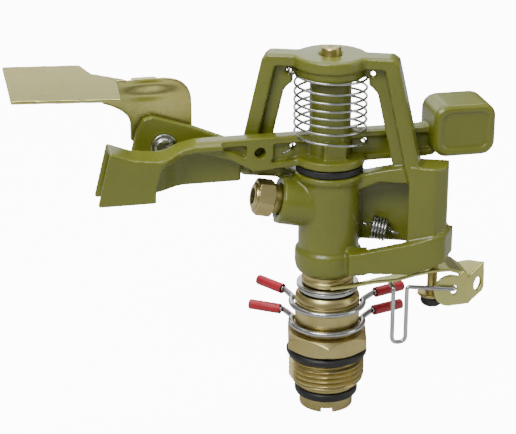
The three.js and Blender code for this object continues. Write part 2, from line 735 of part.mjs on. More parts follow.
// ---------------------------------------------------------------- nozzle, pin and washers
function rangeNozzle() {
  const hexEnd = -NOZZLE_NECK_LENGTH - NOZZLE_HEX_LENGTH;
  const end = hexEnd - NOZZLE_TIP_LENGTH;
  const hex = slab(hexagon(NOZZLE_ACROSS_FLATS), hexEnd, -NOZZLE_NECK_LENGTH);
  const body = turned(
    [
      [0, end],
      [NOZZLE_TIP_R - 0.6, end],
      [NOZZLE_TIP_R, hexEnd],
      [NOZZLE_TIP_R, hexEnd + 1],
      [NOZZLE_STEM_R, hexEnd + 2],
      [NOZZLE_STEM_R, NOZZLE_STEM_LENGTH],
      [0, NOZZLE_STEM_LENGTH],
    ],
    24,
  );
  const bore = turned(
    [
      [0, end - 1],
      [NOZZLE_BORE_R, end - 1],
      [NOZZLE_BORE_R, hexEnd + 1],
      [NOZZLE_STEM_R - 1, NOZZLE_STEM_LENGTH + 1],
      [0, NOZZLE_STEM_LENGTH + 1],
    ],
    24,
  );
  return onJet(cut(join(hex, body), bore));
}

function fulcrumPin() {
  return turned([
    [0, barrelTopZ - PIN_SOCKET],
    [PIN_R, barrelTopZ - PIN_SOCKET],
    [PIN_R, pinTopZ - 0.4],
    [PIN_R - 0.4, pinTopZ],
    [0, pinTopZ],
  ]);
}

const pivotWasher = () =>
  ring(PIVOT_WASHER_R, PIN_R + GAP, barrelTopZ + GAP, barrelTopZ + GAP + PIVOT_WASHER);

const armBush = () => ring(bushR, PIN_R + RUNNING, armZ + 0.1, hubTopZ - 0.1);

// ---------------------------------------------------------------- drive arm
// Follows the double bend of the spoon: y before the bend to y after it.
function bendLine(fromX, toX, beforeY, afterY) {
  const points = [[fromX, beforeY]];
  for (let i = 0; i <= 10; i++) {
    const t = i / 10;
    const ease = t * t * (3 - 2 * t);
    const x = SPOON_BEND_START_X + (SPOON_BEND_END_X - SPOON_BEND_START_X) * t;
    points.push([x, beforeY + (afterY - beforeY) * ease]);
  }
  points.push([toX, afterY]);
  return points;
}

// A channel, open below, that catches the jet: roof, back wall and a shorter vane in front at its tip.
function spoon() {
  const pastTip = SPOON_TIP_X - SPOON_TIP_LEAN - 1;
  const front = (startX, inset) =>
    bendLine(startX, pastTip, SPOON_FRONT_Y + inset, SPOON_TIP_FRONT_Y + inset);
  const back = (startX, inset) =>
    bendLine(startX, pastTip, SPOON_BACK_Y - inset, SPOON_TIP_BACK_Y - inset);
  const lowZ = armZ + SPOON_LOW;
  const endX = SPOON_TIP_X - SPOON_TIP_LEAN;
  const middleX = (SPOON_BEND_END_X + SPOON_TIP_X) / 2;
  const roofLine = (startX, drop) => [
    [startX, armZ + SPOON_ROOF_TOP + 1.6 - drop],
    [SPOON_BEND_START_X + 2, armZ + SPOON_ROOF_TOP + 1.5 - drop],
    [SPOON_BEND_START_X - 6, armZ + SPOON_ROOF_TOP + 0.2 - drop],
    [SPOON_BEND_END_X, armZ + SPOON_ROOF_TOP + 0.2 - drop],
    [middleX, armZ + SPOON_ROOF_TOP + 1.1 - drop],
    [SPOON_TIP_X, armZ + SPOON_TIP_TOP - drop],
  ];
  const tall = (plan) => slab(plan, armZ - 30, armZ + 30);
  const roof = tall([
    ...front(SPOON_ROOF_START_X, 0),
    ...back(SPOON_ROOF_START_X, 0).reverse(),
  ]).intersect(
    plate(
      [
        ...roofLine(SPOON_ROOF_START_X + 1, 0),
        ...roofLine(SPOON_ROOF_START_X + 1, SPOON_ROOF).reverse(),
      ],
      -30,
      30,
    ),
  );
  const backWall = tall([
    ...back(SPOON_BACK_START_X, SPOON_WALL),
    ...back(SPOON_BACK_START_X, 0).reverse(),
  ]).intersect(
    plate(
      [
        [SPOON_BACK_START_X, lowZ],
        [SPOON_BACK_START_X, armZ + 3],
        ...roofLine(SPOON_BACK_START_X - 6, 0.2),
        [endX, lowZ],
      ],
      -30,
      30,
    ),
  );
  const vane = tall([
    ...front(SPOON_ROOF_START_X, 0),
    ...front(SPOON_ROOF_START_X, SPOON_WALL).reverse(),
  ]).intersect(
    plate(
      [
        [SPOON_BEND_END_X - 1, lowZ],
        [SPOON_BEND_END_X - 0.7, armZ],
        [SPOON_BEND_END_X + 1, armZ + 5],
        [SPOON_BEND_END_X + 3, armZ + SPOON_ROOF_TOP - 0.4],
        ...roofLine(SPOON_BEND_END_X + 1, 0.2).slice(3),
        [endX, lowZ],
      ],
      -30,
      30,
    ),
  );
  return join(roof, backWall, vane);
}

function beam() {
  const h = BEAM_WIDTH / 2;
  const t = FLANGE_THICKNESS;
  const endX = WEIGHT_X + 2;
  const upper = plate(
    [
      [BEAM_FRONT_X, armTopZ - t - 0.4],
      [endX, armTopZ - t],
      [endX, armTopZ],
      [BEAM_FRONT_X, armTopZ - 0.4],
    ],
    -h,
    h,
  );
  const bossLow = -1.1;
  const lower = plate(
    [
      [BEAM_FRONT_X, armTopZ - 3.6],
      [BEAM_FRONT_X + 12, armZ + 3.6],
      [BEAM_BOSS_X - 2, armZ + bossLow],
      [-HUB_FLANGE_R, armZ],
      [endX, armZ + 0.4],
      [endX, armZ + 0.4 + t],
      [-HUB_FLANGE_R, armZ + t],
      [BEAM_BOSS_X, armZ + t + bossLow],
      [BEAM_FRONT_X + 13, armZ + 3.6 + t],
      [BEAM_FRONT_X, armTopZ - 1],
    ],
    -h,
    h,
  );
  const web = plate(
    [
      [BEAM_FRONT_X + 2, armTopZ - 2.4],
      [BEAM_FRONT_X + 12, armZ + 4.4],
      [BEAM_BOSS_X, armZ + 0.4],
      [endX, armZ + 1.4],
      [endX, armTopZ - 1],
      [BEAM_FRONT_X + 2, armTopZ - 1],
    ],
    -BEAM_WEB / 2,
    BEAM_WEB / 2,
  );
  const bossZ = armZ + BEAM_HEIGHT / 2;
  const boss = crossPin(BEAM_BOSS_R, BEAM_BOSS_X, bossZ, -h, h, 28);
  const holes = [
    crossPin(BEAM_BOSS_HOLE_R, BEAM_BOSS_X, bossZ, -9, 9, 20),
    crossPin(HOOK_HOLE_R, -ARM_SPRING_R - 0.8, armTopZ - t - 1.7, -9, 9, 12),
    crossPin(HOOK_HOLE_R, ARM_SPRING_R - 0.2, armTopZ - t - 1.7, -9, 9, 12),
  ];
  return cut(join(upper, lower, web, boss), ...holes);
}

function counterweight() {
  const x0 = WEIGHT_X;
  const x1 = WEIGHT_X + WEIGHT_LENGTH;
  const z0 = armZ + WEIGHT_ABOVE_ARM_BASE;
  const z1 = z0 + WEIGHT_HEIGHT;
  const y0 = WEIGHT_FRONT_Y;
  const y1 = WEIGHT_FRONT_Y + WEIGHT_DEPTH;
  const rim = 1.6;
  const step = 0.9;
  const face = (inset) => {
    const r = WEIGHT_CORNER_R - Math.min(inset, rim);
    return roundedOutline(x0 + inset, x1 - inset, z0 + inset, z1 - inset, r);
  };
  const block = plate(face(0), y0 + step, y1 - step);
  const ends = plate(face(step), y0, y1);
  const recess = plate(face(step + rim), y0 - 1, y0 + 0.8);
  return cut(join(block, ends), recess);
}

function driveArm() {
  const hub = join(
    post(HUB_R, armZ, hubTopZ),
    post(HUB_FLANGE_R, armZ, armZ + HUB_FLANGE_HEIGHT),
    box(-4, 3.6, -HUB_R - 1.6, 0, armZ + 1, armZ + 8.6),
  );
  const bore = post(bushR + 0.05, armZ - 1, hubTopZ + 1);
  return cut(join(hub, beam(), counterweight(), spoon()), bore);
}

// Hangs under the bridge's web and ends just above the arm.
function armSpring() {
  const topZ = skirtZ - 0.5 - ARM_SPRING_WIRE / 2;
  const lowZ = armTopZ + GAP + ARM_SPRING_WIRE / 2;
  const points = [];
  const count = ARM_SPRING_TURNS * 14;
  for (let i = 0; i <= count; i++) {
    const t = i / count;
    points.push(around(ARM_SPRING_R, 2 * Math.PI * ARM_SPRING_TURNS * t, topZ + (lowZ - topZ) * t));
  }
  return wire(smooth(points), ARM_SPRING_WIRE, count, 6);
}

// ---------------------------------------------------------------- deflector flap
function paddleHeight(x, y) {
  const base = flapPivotZ + FLAP_WEB_TOP + 0.2;
  return base + PADDLE_RISE_LEFT * (PADDLE_RIGHT_X - x) + PADDLE_RISE_BACK * (y - flapY);
}

function deflectorFlap() {
  const x = FLAP_PIVOT_X;
  const z = flapPivotZ;
  const half = FLAP_WEB_WIDTH / 2;
  const top = z + FLAP_WEB_TOP;
  const shape = new THREE.Shape();
  shape.moveTo(x - half, z + 7.6);
  shape.quadraticCurveTo(x - half - 0.6, z + 12, x - half - 9, z + 14.6);
  shape.lineTo(PADDLE_RIGHT_X - 7, paddleHeight(PADDLE_RIGHT_X - 7, flapY) - 0.6);
  shape.lineTo(PADDLE_RIGHT_X + 1, paddleHeight(PADDLE_RIGHT_X, flapY) - 0.6);
  shape.lineTo(x - half + 3, top);
  shape.lineTo(x + half - 9, top);
  shape.quadraticCurveTo(x + half, top - 0.4, x + half, top - 9);
  shape.lineTo(x + half, z + 1);
  shape.absarc(x, z, half - 2.2, 0, Math.PI, true);
  shape.lineTo(x - half, z + 1.5);
  const web = plate(shape, flapY, flapY + FLAP_SHEET);
  const leftX = PADDLE_RIGHT_X - PADDLE_LENGTH;
  const backX = leftX + 25;
  const plan = [
    [PADDLE_RIGHT_X, PADDLE_FRONT_Y],
    [PADDLE_RIGHT_X + 0.6, flapY],
    [PADDLE_RIGHT_X + 3.4, flapY],
    [PADDLE_RIGHT_X + 3.4, flapY + FLAP_SHEET],
    [backX + 3, flapY + 7],
    [backX, PADDLE_BACK_Y],
    [leftX - 0.6, PADDLE_BACK_Y],
    [leftX, PADDLE_FRONT_Y + 0.8],
  ];
  const tiltY = THREE.MathUtils.radToDeg(Math.atan(PADDLE_RISE_LEFT));
  const tiltX = THREE.MathUtils.radToDeg(Math.atan(PADDLE_RISE_BACK));
  const centred = plan.map(([px, py]) => [px - PADDLE_RIGHT_X, py - flapY]);
  const paddle = slab(centred, -FLAP_SHEET, 0)
    .rotate([tiltX, tiltY, 0])
    .translate([PADDLE_RIGHT_X, flapY, paddleHeight(PADDLE_RIGHT_X, flapY)]);
  const lip = plate(
    [
      [x - half + 1, top - FLAP_SHEET],
      [x + half - 10, top - FLAP_SHEET],
      [x + half - 12, top],
      [x - half + 1, top],
    ],
    flapY,
    flapY + 3,
  );
  return cut(
    join(web, paddle, lip),
    crossPin(FLAP_SCREW_R + RUNNING, x, z, flapY - 1, flapY + 4),
  );
}

function flapScrew() {
  const x = FLAP_PIVOT_X;
  const z = flapPivotZ;
  const head = LUG_FRONT_Y - GAP;
  const end = flapY + FLAP_SHEET + 3.6;
  const slot = box(x - 5, x + 5, head - 3, head - 1.3, z - 0.6, z + 0.6);
  return cut(
    join(
      crossPin(FLAP_SCREW_HEAD_R, x, z, head - 1.6, head, 28),
      crossPin(FLAP_SCREW_HEAD_R - 1.2, x, z, head - 2.4, head, 28),
      crossPin(FLAP_SCREW_R, x, z, head - 0.5, end, 20),
    ),
    slot,
  );
}

function flapNut() {
  const start = flapY + FLAP_SHEET + GAP;
  const hex = slab(hexagon(7), 0, 2.6)
    .rotate([-90, 0, 0])
    .translate([FLAP_PIVOT_X, start, flapPivotZ]);
  return cut(hex, crossPin(FLAP_SCREW_R + RUNNING, FLAP_PIVOT_X, flapPivotZ, start - 1, start + 4, 20));
}

// ---------------------------------------------------------------- trip mechanism
// One folded sheet: a wavy top that reaches past the tube, a round front ear and a slanting side.
function tripLever() {
  const z = leverTopZ;
  const t = LEVER_SHEET;
  const foldX = EAR_X + 6.8;
  const wave = [
    [-2, z - 1.1],
    [6, z - 0.7],
    [13, z],
    [21, z],
    [28, z + 1.5],
    [34, z + 2.2],
    [EAR_X, z + 2.2],
    [EAR_X + 4.6, z + 0.6],
    [foldX, z - 0.9],
    [EAR_X + 14, z + 1.9],
  ];
  const sheet = plate([...wave, ...wave.map(([x, h]) => [x, h - t]).reverse()], -30, 30);
  const plan = [
    [-2, LEVER_FRONT_Y],
    [foldX, LEVER_FRONT_Y],
    [EAR_X + 13.4, LEVER_FRONT_Y + 5.2],
    [EAR_X + 10.2, LEVER_BACK_Y - 4.6],
    [EAR_X + 4.6, LEVER_BACK_Y - 1],
    [EAR_X - 3, LEVER_BACK_Y],
    [EAR_X - 12, LEVER_BACK_Y - 4],
    [24, LEVER_FRONT_Y + 5],
    [16, LEVER_FRONT_Y + 3.4],
    [12, LEVER_FRONT_Y + 2],
    [-2, LEVER_FRONT_Y + 1.6],
  ];
  const top = sheet.intersect(slab(plan, z - 20, z + 20));
  const earZ = z - EAR_DROP + 2;
  const ear = plate(
    [
      [EAR_X, earZ - EAR_R],
      [EAR_X + 7, earZ - EAR_R + 0.4],
      [EAR_X + 7.4, z - 0.6],
      [EAR_X + 4.6, z + 1.2],
      [EAR_X + 3.4, z + 0.2],
      [EAR_X + 2, earZ + 4],
    ],
    LEVER_FRONT_Y - t,
    LEVER_FRONT_Y,
  );
  const disc = crossPin(EAR_R, EAR_X, earZ, LEVER_FRONT_Y - t, LEVER_FRONT_Y, 32);
  const slotHalf = TRIP_WIRE / 2 + GAP;
  const slot = join(
    crossPin(slotHalf, earHoleX, earHoleZ, LEVER_FRONT_Y - 4, LEVER_FRONT_Y + 4, 16),
    crossPin(slotHalf, earHoleX, earHoleZ - EAR_SLOT_DROP, LEVER_FRONT_Y - 4, LEVER_FRONT_Y + 4, 16),
    box(
      earHoleX - slotHalf,
      earHoleX + slotHalf,
      LEVER_FRONT_Y - 4,
      LEVER_FRONT_Y + 4,
      earHoleZ - EAR_SLOT_DROP,
      earHoleZ,
    ),
  );
  const onFold = (solid) => solid.rotate([0, 0, SIDE_TURN]).translate([foldX, LEVER_FRONT_Y - t, earZ]);
  const side = onFold(
    plate(
      [
        [-0.7, -EAR_R + 0.4],
        [8.5, -3.3],
        [9.5, -1.7],
        [9, z + 1.9 - earZ],
        [-0.7, z - 1 - earZ],
      ],
      0,
      t,
    ),
  );
  const sideHole = onFold(crossPin(SIDE_HOLE_R, 5.4, 0.4, -3, 4, 24));
  const pivotHole = placed(
    post(TRIP_POST_R + GAP, -20, 20, 20),
    TRIP_POST_X,
    TRIP_POST_Y,
    z,
  );
  return cut(join(top, ear, disc, side), slot, sideHole, pivotHole);
}

const tripFlangeZ = strapZ - TRIP_POST_BELOW_STRAP;

function tripPost() {
  const spindle = turned(
    [
      [0, tripFlangeZ - 2.4],
      [TRIP_POST_R - 0.4, tripFlangeZ - 2.4],
      [TRIP_POST_R - 0.4, tripFlangeZ - 0.1],
      [TRIP_FLANGE_R - 0.4, tripFlangeZ],
      [TRIP_FLANGE_R, tripFlangeZ + 0.4],
      [TRIP_FLANGE_R - 0.3, tripFlangeZ + TRIP_FLANGE_HEIGHT],
      [TRIP_POST_R + 0.6, tripFlangeZ + TRIP_FLANGE_HEIGHT],
      [TRIP_POST_R + 0.6, tripFlangeZ + 2.6],
      [TRIP_POST_R, tripFlangeZ + 2.6],
      [TRIP_POST_R, strapZ + 2.4 + TRIP_POST_IN_BODY - GAP],
      [0, strapZ + 2.4 + TRIP_POST_IN_BODY - GAP],
    ],
    24,
  );
  return placed(spindle, TRIP_POST_X, TRIP_POST_Y, 0);
}

function rubberBumper() {
  const top = tripFlangeZ - GAP - 0.1;
  const body = turned(
    [
      [TRIP_POST_R - 0.1, top - 2.6],
      [TRIP_POST_R - 0.1, top - BUMPER_HEIGHT],
      [BUMPER_R - 1, top - BUMPER_HEIGHT],
      [BUMPER_R - 0.1, top - BUMPER_HEIGHT + 1],
      [BUMPER_R, top - 0.6],
      [BUMPER_R - 0.3, top],
      [TRIP_POST_R - 0.1, top],
      [TRIP_POST_R - 0.1, top - 2.6],
    ],
    24,
  );
  return placed(body, TRIP_POST_X, TRIP_POST_Y, 0);
}

// A hairpin that hangs beside the lever: one end turns into the ear, the other in under the lever.
function tripWire() {
  const right = TRIP_WIRE_LEFT_X + TRIP_WIRE_SPREAD;
  const y = TRIP_WIRE_Y;
  const point = (x, z, py = y) => new THREE.Vector3(x, py, z);
  const corners = [
    point(earHoleX, earHoleZ, LEVER_FRONT_Y - 0.1),
    point(earHoleX, earHoleZ),
    point(right, tripWireTopZ),
    point(right, tripWireTopZ - TRIP_WIRE_DROP),
    point(TRIP_WIRE_LEFT_X, tripWireTopZ - TRIP_WIRE_DROP),
    point(TRIP_WIRE_LEFT_X, tripWireTopZ),
    point(TRIP_WIRE_LEFT_X, tripWireTopZ, y + 4),
  ];
  const round = TRIP_WIRE_SPREAD / 2.1;
  return wire(bentPath(corners, [1, 1, round, round, 1]), TRIP_WIRE, 96);
}

// Lies between the barrel and the trip block, with a straight end towards each.
function overCentreSpring() {
  const points = [new THREE.Vector3(-5.4, 0, 0), new THREE.Vector3(-4, 0, 0)];
  const count = Math.round(OVER_CENTRE_TURNS * 12);
  const half = (OVER_CENTRE_TURNS * (OVER_CENTRE_WIRE + 0.15)) / 2;
  for (let i = 0; i <= count; i++) {
    const t = i / count;
    const a = 2 * Math.PI * OVER_CENTRE_TURNS * t;
    const x = (2 * t - 1) * half;
    points.push(new THREE.Vector3(x, OVER_CENTRE_R * Math.cos(a), OVER_CENTRE_R * Math.sin(a)));
  }
  points.push(new THREE.Vector3(4, 0, 0), new THREE.Vector3(6.6, 0, 0));
  return onBridge(
    wire(smooth(points), OVER_CENTRE_WIRE, count + 10, 6)
      .rotate([0, 14, 0])
      .translate([17.2, 1.6, strapZ + STRAP_LOW_HEIGHT + 5.8]),
  );
}

// ---------------------------------------------------------------- assembly
const paint = new THREE.MeshStandardMaterial({ color: 0x767c2c, roughness: 0.35, metalness: 0 });
const brass = new THREE.MeshStandardMaterial({ color: 0xb59a58, roughness: 0.3, metalness: 1 });
const passivated = new THREE.MeshStandardMaterial({ color: 0xcfcf92, roughness: 0.35, metalness: 1 });
const steel = new THREE.MeshStandardMaterial({ color: 0xa8acb0, roughness: 0.3, metalness: 1 });
const rubber = new THREE.MeshStandardMaterial({ color: 0x1b1b1e, roughness: 0.6, metalness: 0 });
const vinyl = new THREE.MeshStandardMaterial({ color: 0xb4243c, roughness: 0.45, metalness: 0 });

function meshOf(name, solid, material) {
  const { vertProperties, triVerts, numProp } = solid.getMesh();
  const geometry = new THREE.BufferGeometry();
  const positions = new Float32Array((vertProperties.length / numProp) * 3);
  for (let i = 0; i < positions.length / 3; i++) {
    positions.set(vertProperties.subarray(i * numProp, i * numProp + 3), i * 3);
  }
  geometry.setAttribute("position", new THREE.BufferAttribute(positions, 3));
  geometry.setIndex(new THREE.BufferAttribute(new Uint32Array(triVerts), 1));
  geometry.computeVertexNormals();
  const mesh = new THREE.Mesh(geometry, material);
  mesh.name = name;
  return mesh;
}

const sprinkler = new THREE.Group();
const pieces = [
  ["inlet_nipple", inletNipple(), brass],
  ["foot_seal", footSeal(), rubber],
  ["slip_washer", slipWasher(), brass],
  ["hex_seal", hexSeal(), rubber],
  ["bearing_tube", bearingTube(), brass],
  ["bearing_spring", bearingSpring(), steel],
  ["spring_seat", springSeat(), steel],
  ["lower_thrust_washer", thrustWasher(0), steel],
  ["upper_thrust_washer", thrustWasher(1), steel],
  ["thrust_ring", thrustRing(), brass],
  ["lower_collar_wire", collarWire(LOWER_RIGHT_TAIL, LOWER_LEFT_TAIL, lowerCollarZ), steel],
  ["lower_left_grip", grip(LOWER_LEFT_TAIL, lowerCollarZ), vinyl],
  ["lower_right_grip", grip(LOWER_RIGHT_TAIL, lowerCollarZ), vinyl],
  ["upper_collar_wire", collarWire(UPPER_RIGHT_TAIL, UPPER_LEFT_TAIL, upperCollarZ), steel],
  ["upper_left_grip", grip(UPPER_LEFT_TAIL, upperCollarZ), vinyl],
  ["upper_right_grip", grip(UPPER_RIGHT_TAIL, upperCollarZ), vinyl],
  ["body_casting", bodyCasting(), paint],
  ["range_nozzle", rangeNozzle(), brass],
  ["fulcrum_pin", fulcrumPin(), brass],
  ["pivot_washer", pivotWasher(), rubber],
  ["drive_arm", driveArm(), paint],
  ["arm_bush", armBush(), brass],
  ["arm_spring", armSpring(), steel],
  ["deflector_flap", deflectorFlap(), passivated],
  ["flap_screw", flapScrew(), steel],
  ["flap_nut", flapNut(), steel],
  ["trip_lever", tripLever(), passivated],
  ["trip_post", tripPost(), brass],
  ["rubber_bumper", rubberBumper(), rubber],
  ["trip_wire", tripWire(), steel],
  ["over_centre_spring", overCentreSpring(), steel],
];
for (const [name, solid, material] of pieces) sprinkler.add(meshOf(name, solid, material));

export default sprinkler;
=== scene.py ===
"""Looks of a part-circle impact sprinkler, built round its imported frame.

Sizes are in millimetres until a mesh is made.
"""

import math

import bmesh
import bpy
from mathutils import Matrix, Vector


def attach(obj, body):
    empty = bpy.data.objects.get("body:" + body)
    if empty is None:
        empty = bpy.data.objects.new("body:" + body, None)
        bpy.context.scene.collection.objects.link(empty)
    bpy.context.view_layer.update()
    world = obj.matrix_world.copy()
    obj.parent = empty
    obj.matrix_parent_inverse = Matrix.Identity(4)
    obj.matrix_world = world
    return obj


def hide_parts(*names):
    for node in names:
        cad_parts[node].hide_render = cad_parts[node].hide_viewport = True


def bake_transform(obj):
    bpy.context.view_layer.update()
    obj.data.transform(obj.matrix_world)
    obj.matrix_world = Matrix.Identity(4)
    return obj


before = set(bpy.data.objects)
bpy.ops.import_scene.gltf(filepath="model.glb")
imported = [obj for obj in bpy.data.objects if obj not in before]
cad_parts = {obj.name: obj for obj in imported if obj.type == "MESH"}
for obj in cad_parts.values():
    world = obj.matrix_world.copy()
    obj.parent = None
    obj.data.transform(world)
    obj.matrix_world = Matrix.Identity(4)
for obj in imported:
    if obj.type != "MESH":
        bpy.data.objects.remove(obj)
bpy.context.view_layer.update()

MM = 0.001
TURN = 2 * math.pi
BRIDGE_ANGLE = math.radians(-21)

# camera, in millimetres
CAMERA_AZIMUTH = math.radians(-12)
CAMERA_ELEVATION = math.radians(21.5)
CAMERA_DISTANCE = 578.5
CAMERA_TARGET_Z = 69.9
CAMERA_SIDE = 24.02
CAMERA_LENS = 118.6

# heights on the axis, and (bottom, top) of pieces and their parts
FOOT_TOP = 4.2
TUBE_TOP = 60.2
COUNTERBORE_FLOOR = 27.27
HEX_SEAL_MIDDLE = 20.67
SEAL = (4.4, 7.5)
SLIP_WASHER = (7.7, 8.9)
NIPPLE = (9.1, 43.17)
THREAD = (9.4, 18.87)
HEX = (22.47, 28.77)
THRUST_WASHERS = (44.92, 45.72)  # the bottom of each of the two
THRUST_RING = (46.72, 50.42)
LOWER_COLLAR = 31.47
UPPER_COLLAR = 38.77
PIVOT_WASHER = (87.52, 89.82)
PIN = (83.82, 129.92)

# places and turns off the axis
FLAP_PIVOT = Vector((-55.2, 0, 97.22))
NOZZLE_FACE = Vector((-17.6, 0, 77.82))
JET_TILT = math.radians(102)
TRIP_POST = Vector((35.5, -7, 0))
TRIP_FLANGE = 41.12
TRIP_POST_TOP = 63.2
SCREW_SLOT_TURN = math.radians(-35)

# radii and the like of the inlet
THREAD_R = 13.22
THREAD_DEPTH = 1.16
THREAD_PITCH = 1.814
HEX_FLAT = 13.5
HEX_CORNER_ANGLE = math.radians(-102)
BAND_R = 11.2
TUBE_R = 6.5
TUBE_FOOT_R = 9.4
WATER_WAY_R = 5
ROUND_TUBE = TUBE_R + 0.3  # the bore of what sits round the tube

CAST_SHARP = None

# ---------------------------------------------------------------- materials

# a Mix node's sockets for two colours and their mixture
MIX_A, MIX_B, MIX_RESULT = 6, 7, 2


def new_group(name, inputs, outputs):
    """A shader node group with float inputs [(name, value)] and outputs [(name, kind)]."""
    tree = bpy.data.node_groups.new(name, "ShaderNodeTree")
    for label, value in inputs:
        socket = tree.interface.new_socket(label, in_out="INPUT", socket_type="NodeSocketFloat")
        socket.default_value = value
    for label, kind in outputs:
        tree.interface.new_socket(label, in_out="OUTPUT", socket_type=kind)
    return tree, tree.nodes.new("NodeGroupInput"), tree.nodes.new("NodeGroupOutput")


def add(tree, kind, inputs=None, **settings):
    """A node with its settings, and each input set to a value or linked from a socket."""
    node = tree.nodes.new(kind)
    for key, value in settings.items():
        setattr(node, key, value)
    for key, value in (inputs or {}).items():
        if isinstance(value, bpy.types.NodeSocket):
            tree.links.new(value, node.inputs[key])
        else:
            node.inputs[key].default_value = value
    return node


def ramp(tree, source, low, high):
    """Maps low..high to 0..1, clamped."""
    node = add(tree, "ShaderNodeMapRange", {"Value": source, "From Min": low, "From Max": high})
    return node.outputs["Result"]


def mix_colour(tree, factor, a, b):
    """Colour a where factor is 0 and colour b where it is 1."""
    node = tree.nodes.new("ShaderNodeMix")
    node.data_type = "RGBA"
    sockets = node.inputs["Factor"], node.inputs[MIX_A], node.inputs[MIX_B]
    for socket, value in zip(sockets, (factor, a, b)):
        if isinstance(value, bpy.types.NodeSocket):
            tree.links.new(value, socket)
        else:
            socket.default_value = value
    return node.outputs[MIX_RESULT]


def surface_grain_group():
    """Fine grain and broad cloudiness on Object coordinates."""
    tree, start, end = new_group(
        "surface_grain",
        [("Grain size", 900.0), ("Cloud size", 60.0)],
        [("Grain", "NodeSocketFloat"), ("Cloud", "NodeSocketFloat")],
    )
    where = tree.nodes.new("ShaderNodeTexCoord").outputs["Object"]
    grain = add(
        tree,
        "ShaderNodeTexNoise",
        {"Vector": where, "Scale": start.outputs["Grain size"], "Detail": 3.0, "Roughness": 0.6},
    )
    cloud = add(
        tree,
        "ShaderNodeTexNoise",
        {"Vector": where, "Scale": start.outputs["Cloud size"], "Detail": 4.0, "Roughness": 0.55},
    )
    tree.links.new(grain.outputs["Fac"], end.inputs["Grain"])
    tree.links.new(ramp(tree, cloud.outputs["Fac"], 0.3, 0.7), end.inputs["Cloud"])
    return tree


def rubbed_edges_and_shade_group():
    """A mask of rubbed edges, broken up by noise, and one of painted shade in the hollows, where
    shade falls.
    """
    tree, start, end = new_group(
        "rubbed_edges_and_painted_shade",
        [("Edge", 0.56), ("Break up", 260.0)],
        [("Worn", "NodeSocketFloat"), ("Painted shade", "NodeSocketFloat")],
    )
    geometry = tree.nodes.new("ShaderNodeNewGeometry")
    where = tree.nodes.new("ShaderNodeTexCoord").outputs["Object"]
    patches = add(
        tree,
        "ShaderNodeTexNoise",
        {"Vector": where, "Scale": start.outputs["Break up"], "Detail": 5.0, "Roughness": 0.65},
    )
    sharp = add(
        tree,
        "ShaderNodeMath",
        {0: geometry.outputs["Pointiness"], 1: start.outputs["Edge"]},
        operation="SUBTRACT",
    )
    edges = ramp(tree, sharp.outputs[0], 0.0, 0.06)
    rubbed = ramp(tree, patches.outputs["Fac"], 0.42, 0.66)
    worn = add(tree, "ShaderNodeMath", {0: edges, 1: rubbed}, operation="MULTIPLY")
    # painted shade: the hollows (low pointiness) are darkened where shade falls, broken up by
    # noise
    hollow = ramp(tree, geometry.outputs["Pointiness"], 0.5, 0.42)
    painted_shade = add(
        tree,
        "ShaderNodeMath",
        {0: hollow, 1: patches.outputs["Fac"]},
        operation="MULTIPLY",
    )
    tree.links.new(worn.outputs[0], end.inputs["Worn"])
    tree.links.new(painted_shade.outputs[0], end.inputs["Painted shade"])
    return tree


def tool_lines_group():
    """Fine lines left by a lathe or by rolling: stretched noise."""
    tree, start, end = new_group(
        "tool_lines",
        [("Across", 90.0), ("Along", 3800.0)],
        [("Lines", "NodeSocketFloat")],
    )
    where = tree.nodes.new("ShaderNodeTexCoord").outputs["Object"]
    stretch = add(
        tree,
        "ShaderNodeCombineXYZ",
        {"X": start.outputs["Across"], "Y": start.outputs["Across"], "Z": start.outputs["Along"]},
    )
    scaled = add(
        tree,
        "ShaderNodeVectorMath",
        {0: where, 1: stretch.outputs[0]},
        operation="MULTIPLY",
    )
    lines = add(
        tree,
        "ShaderNodeTexNoise",
        {"Vector": scaled.outputs[0], "Scale": 1.0, "Detail": 3.0},
    )
    tree.links.new(lines.outputs["Fac"], end.inputs["Lines"])
    return tree


GRAIN = surface_grain_group()
RUBBING_AND_SHADE = rubbed_edges_and_shade_group()
LINES = tool_lines_group()


def use_group(tree, group, **values):
    """A node group in a material, with each input set by its name."""
    node = tree.nodes.new("ShaderNodeGroup")
    node.node_tree = group
    for key, value in values.items():
        node.inputs[key.replace("_", " ")].default_value = value
    return node


def new_material(name, metallic, coat=0.0, coat_roughness=0.1):
    material = bpy.data.materials.new(name)
    material.use_nodes = True
    tree = material.node_tree
    shader = tree.nodes["Principled BSDF"]
    shader.inputs["Metallic"].default_value = metallic
    shader.inputs["Coat Weight"].default_value = coat
    shader.inputs["Coat Roughness"].default_value = coat_roughness
    return material, tree, shader


def finish_surface(tree, shader, colour, roughness, height, depth):
    """Links colour, roughness and a bump of the given depth in metres."""
    tree.links.new(colour, shader.inputs["Base Color"])
    tree.links.new(roughness, shader.inputs["Roughness"])
    bump = add(tree, "ShaderNodeBump", {"Height": height, "Distance": depth, "Strength": 1.0})
    tree.links.new(bump.outputs["Normal"], shader.inputs["Normal"])


def span(tree, factor, low, high):
    """low where factor is 0 and high where it is 1."""
    node = add(tree, "ShaderNodeMapRange", {"Value": factor, "To Min": low, "To Max": high})
    return node.outputs["Result"]


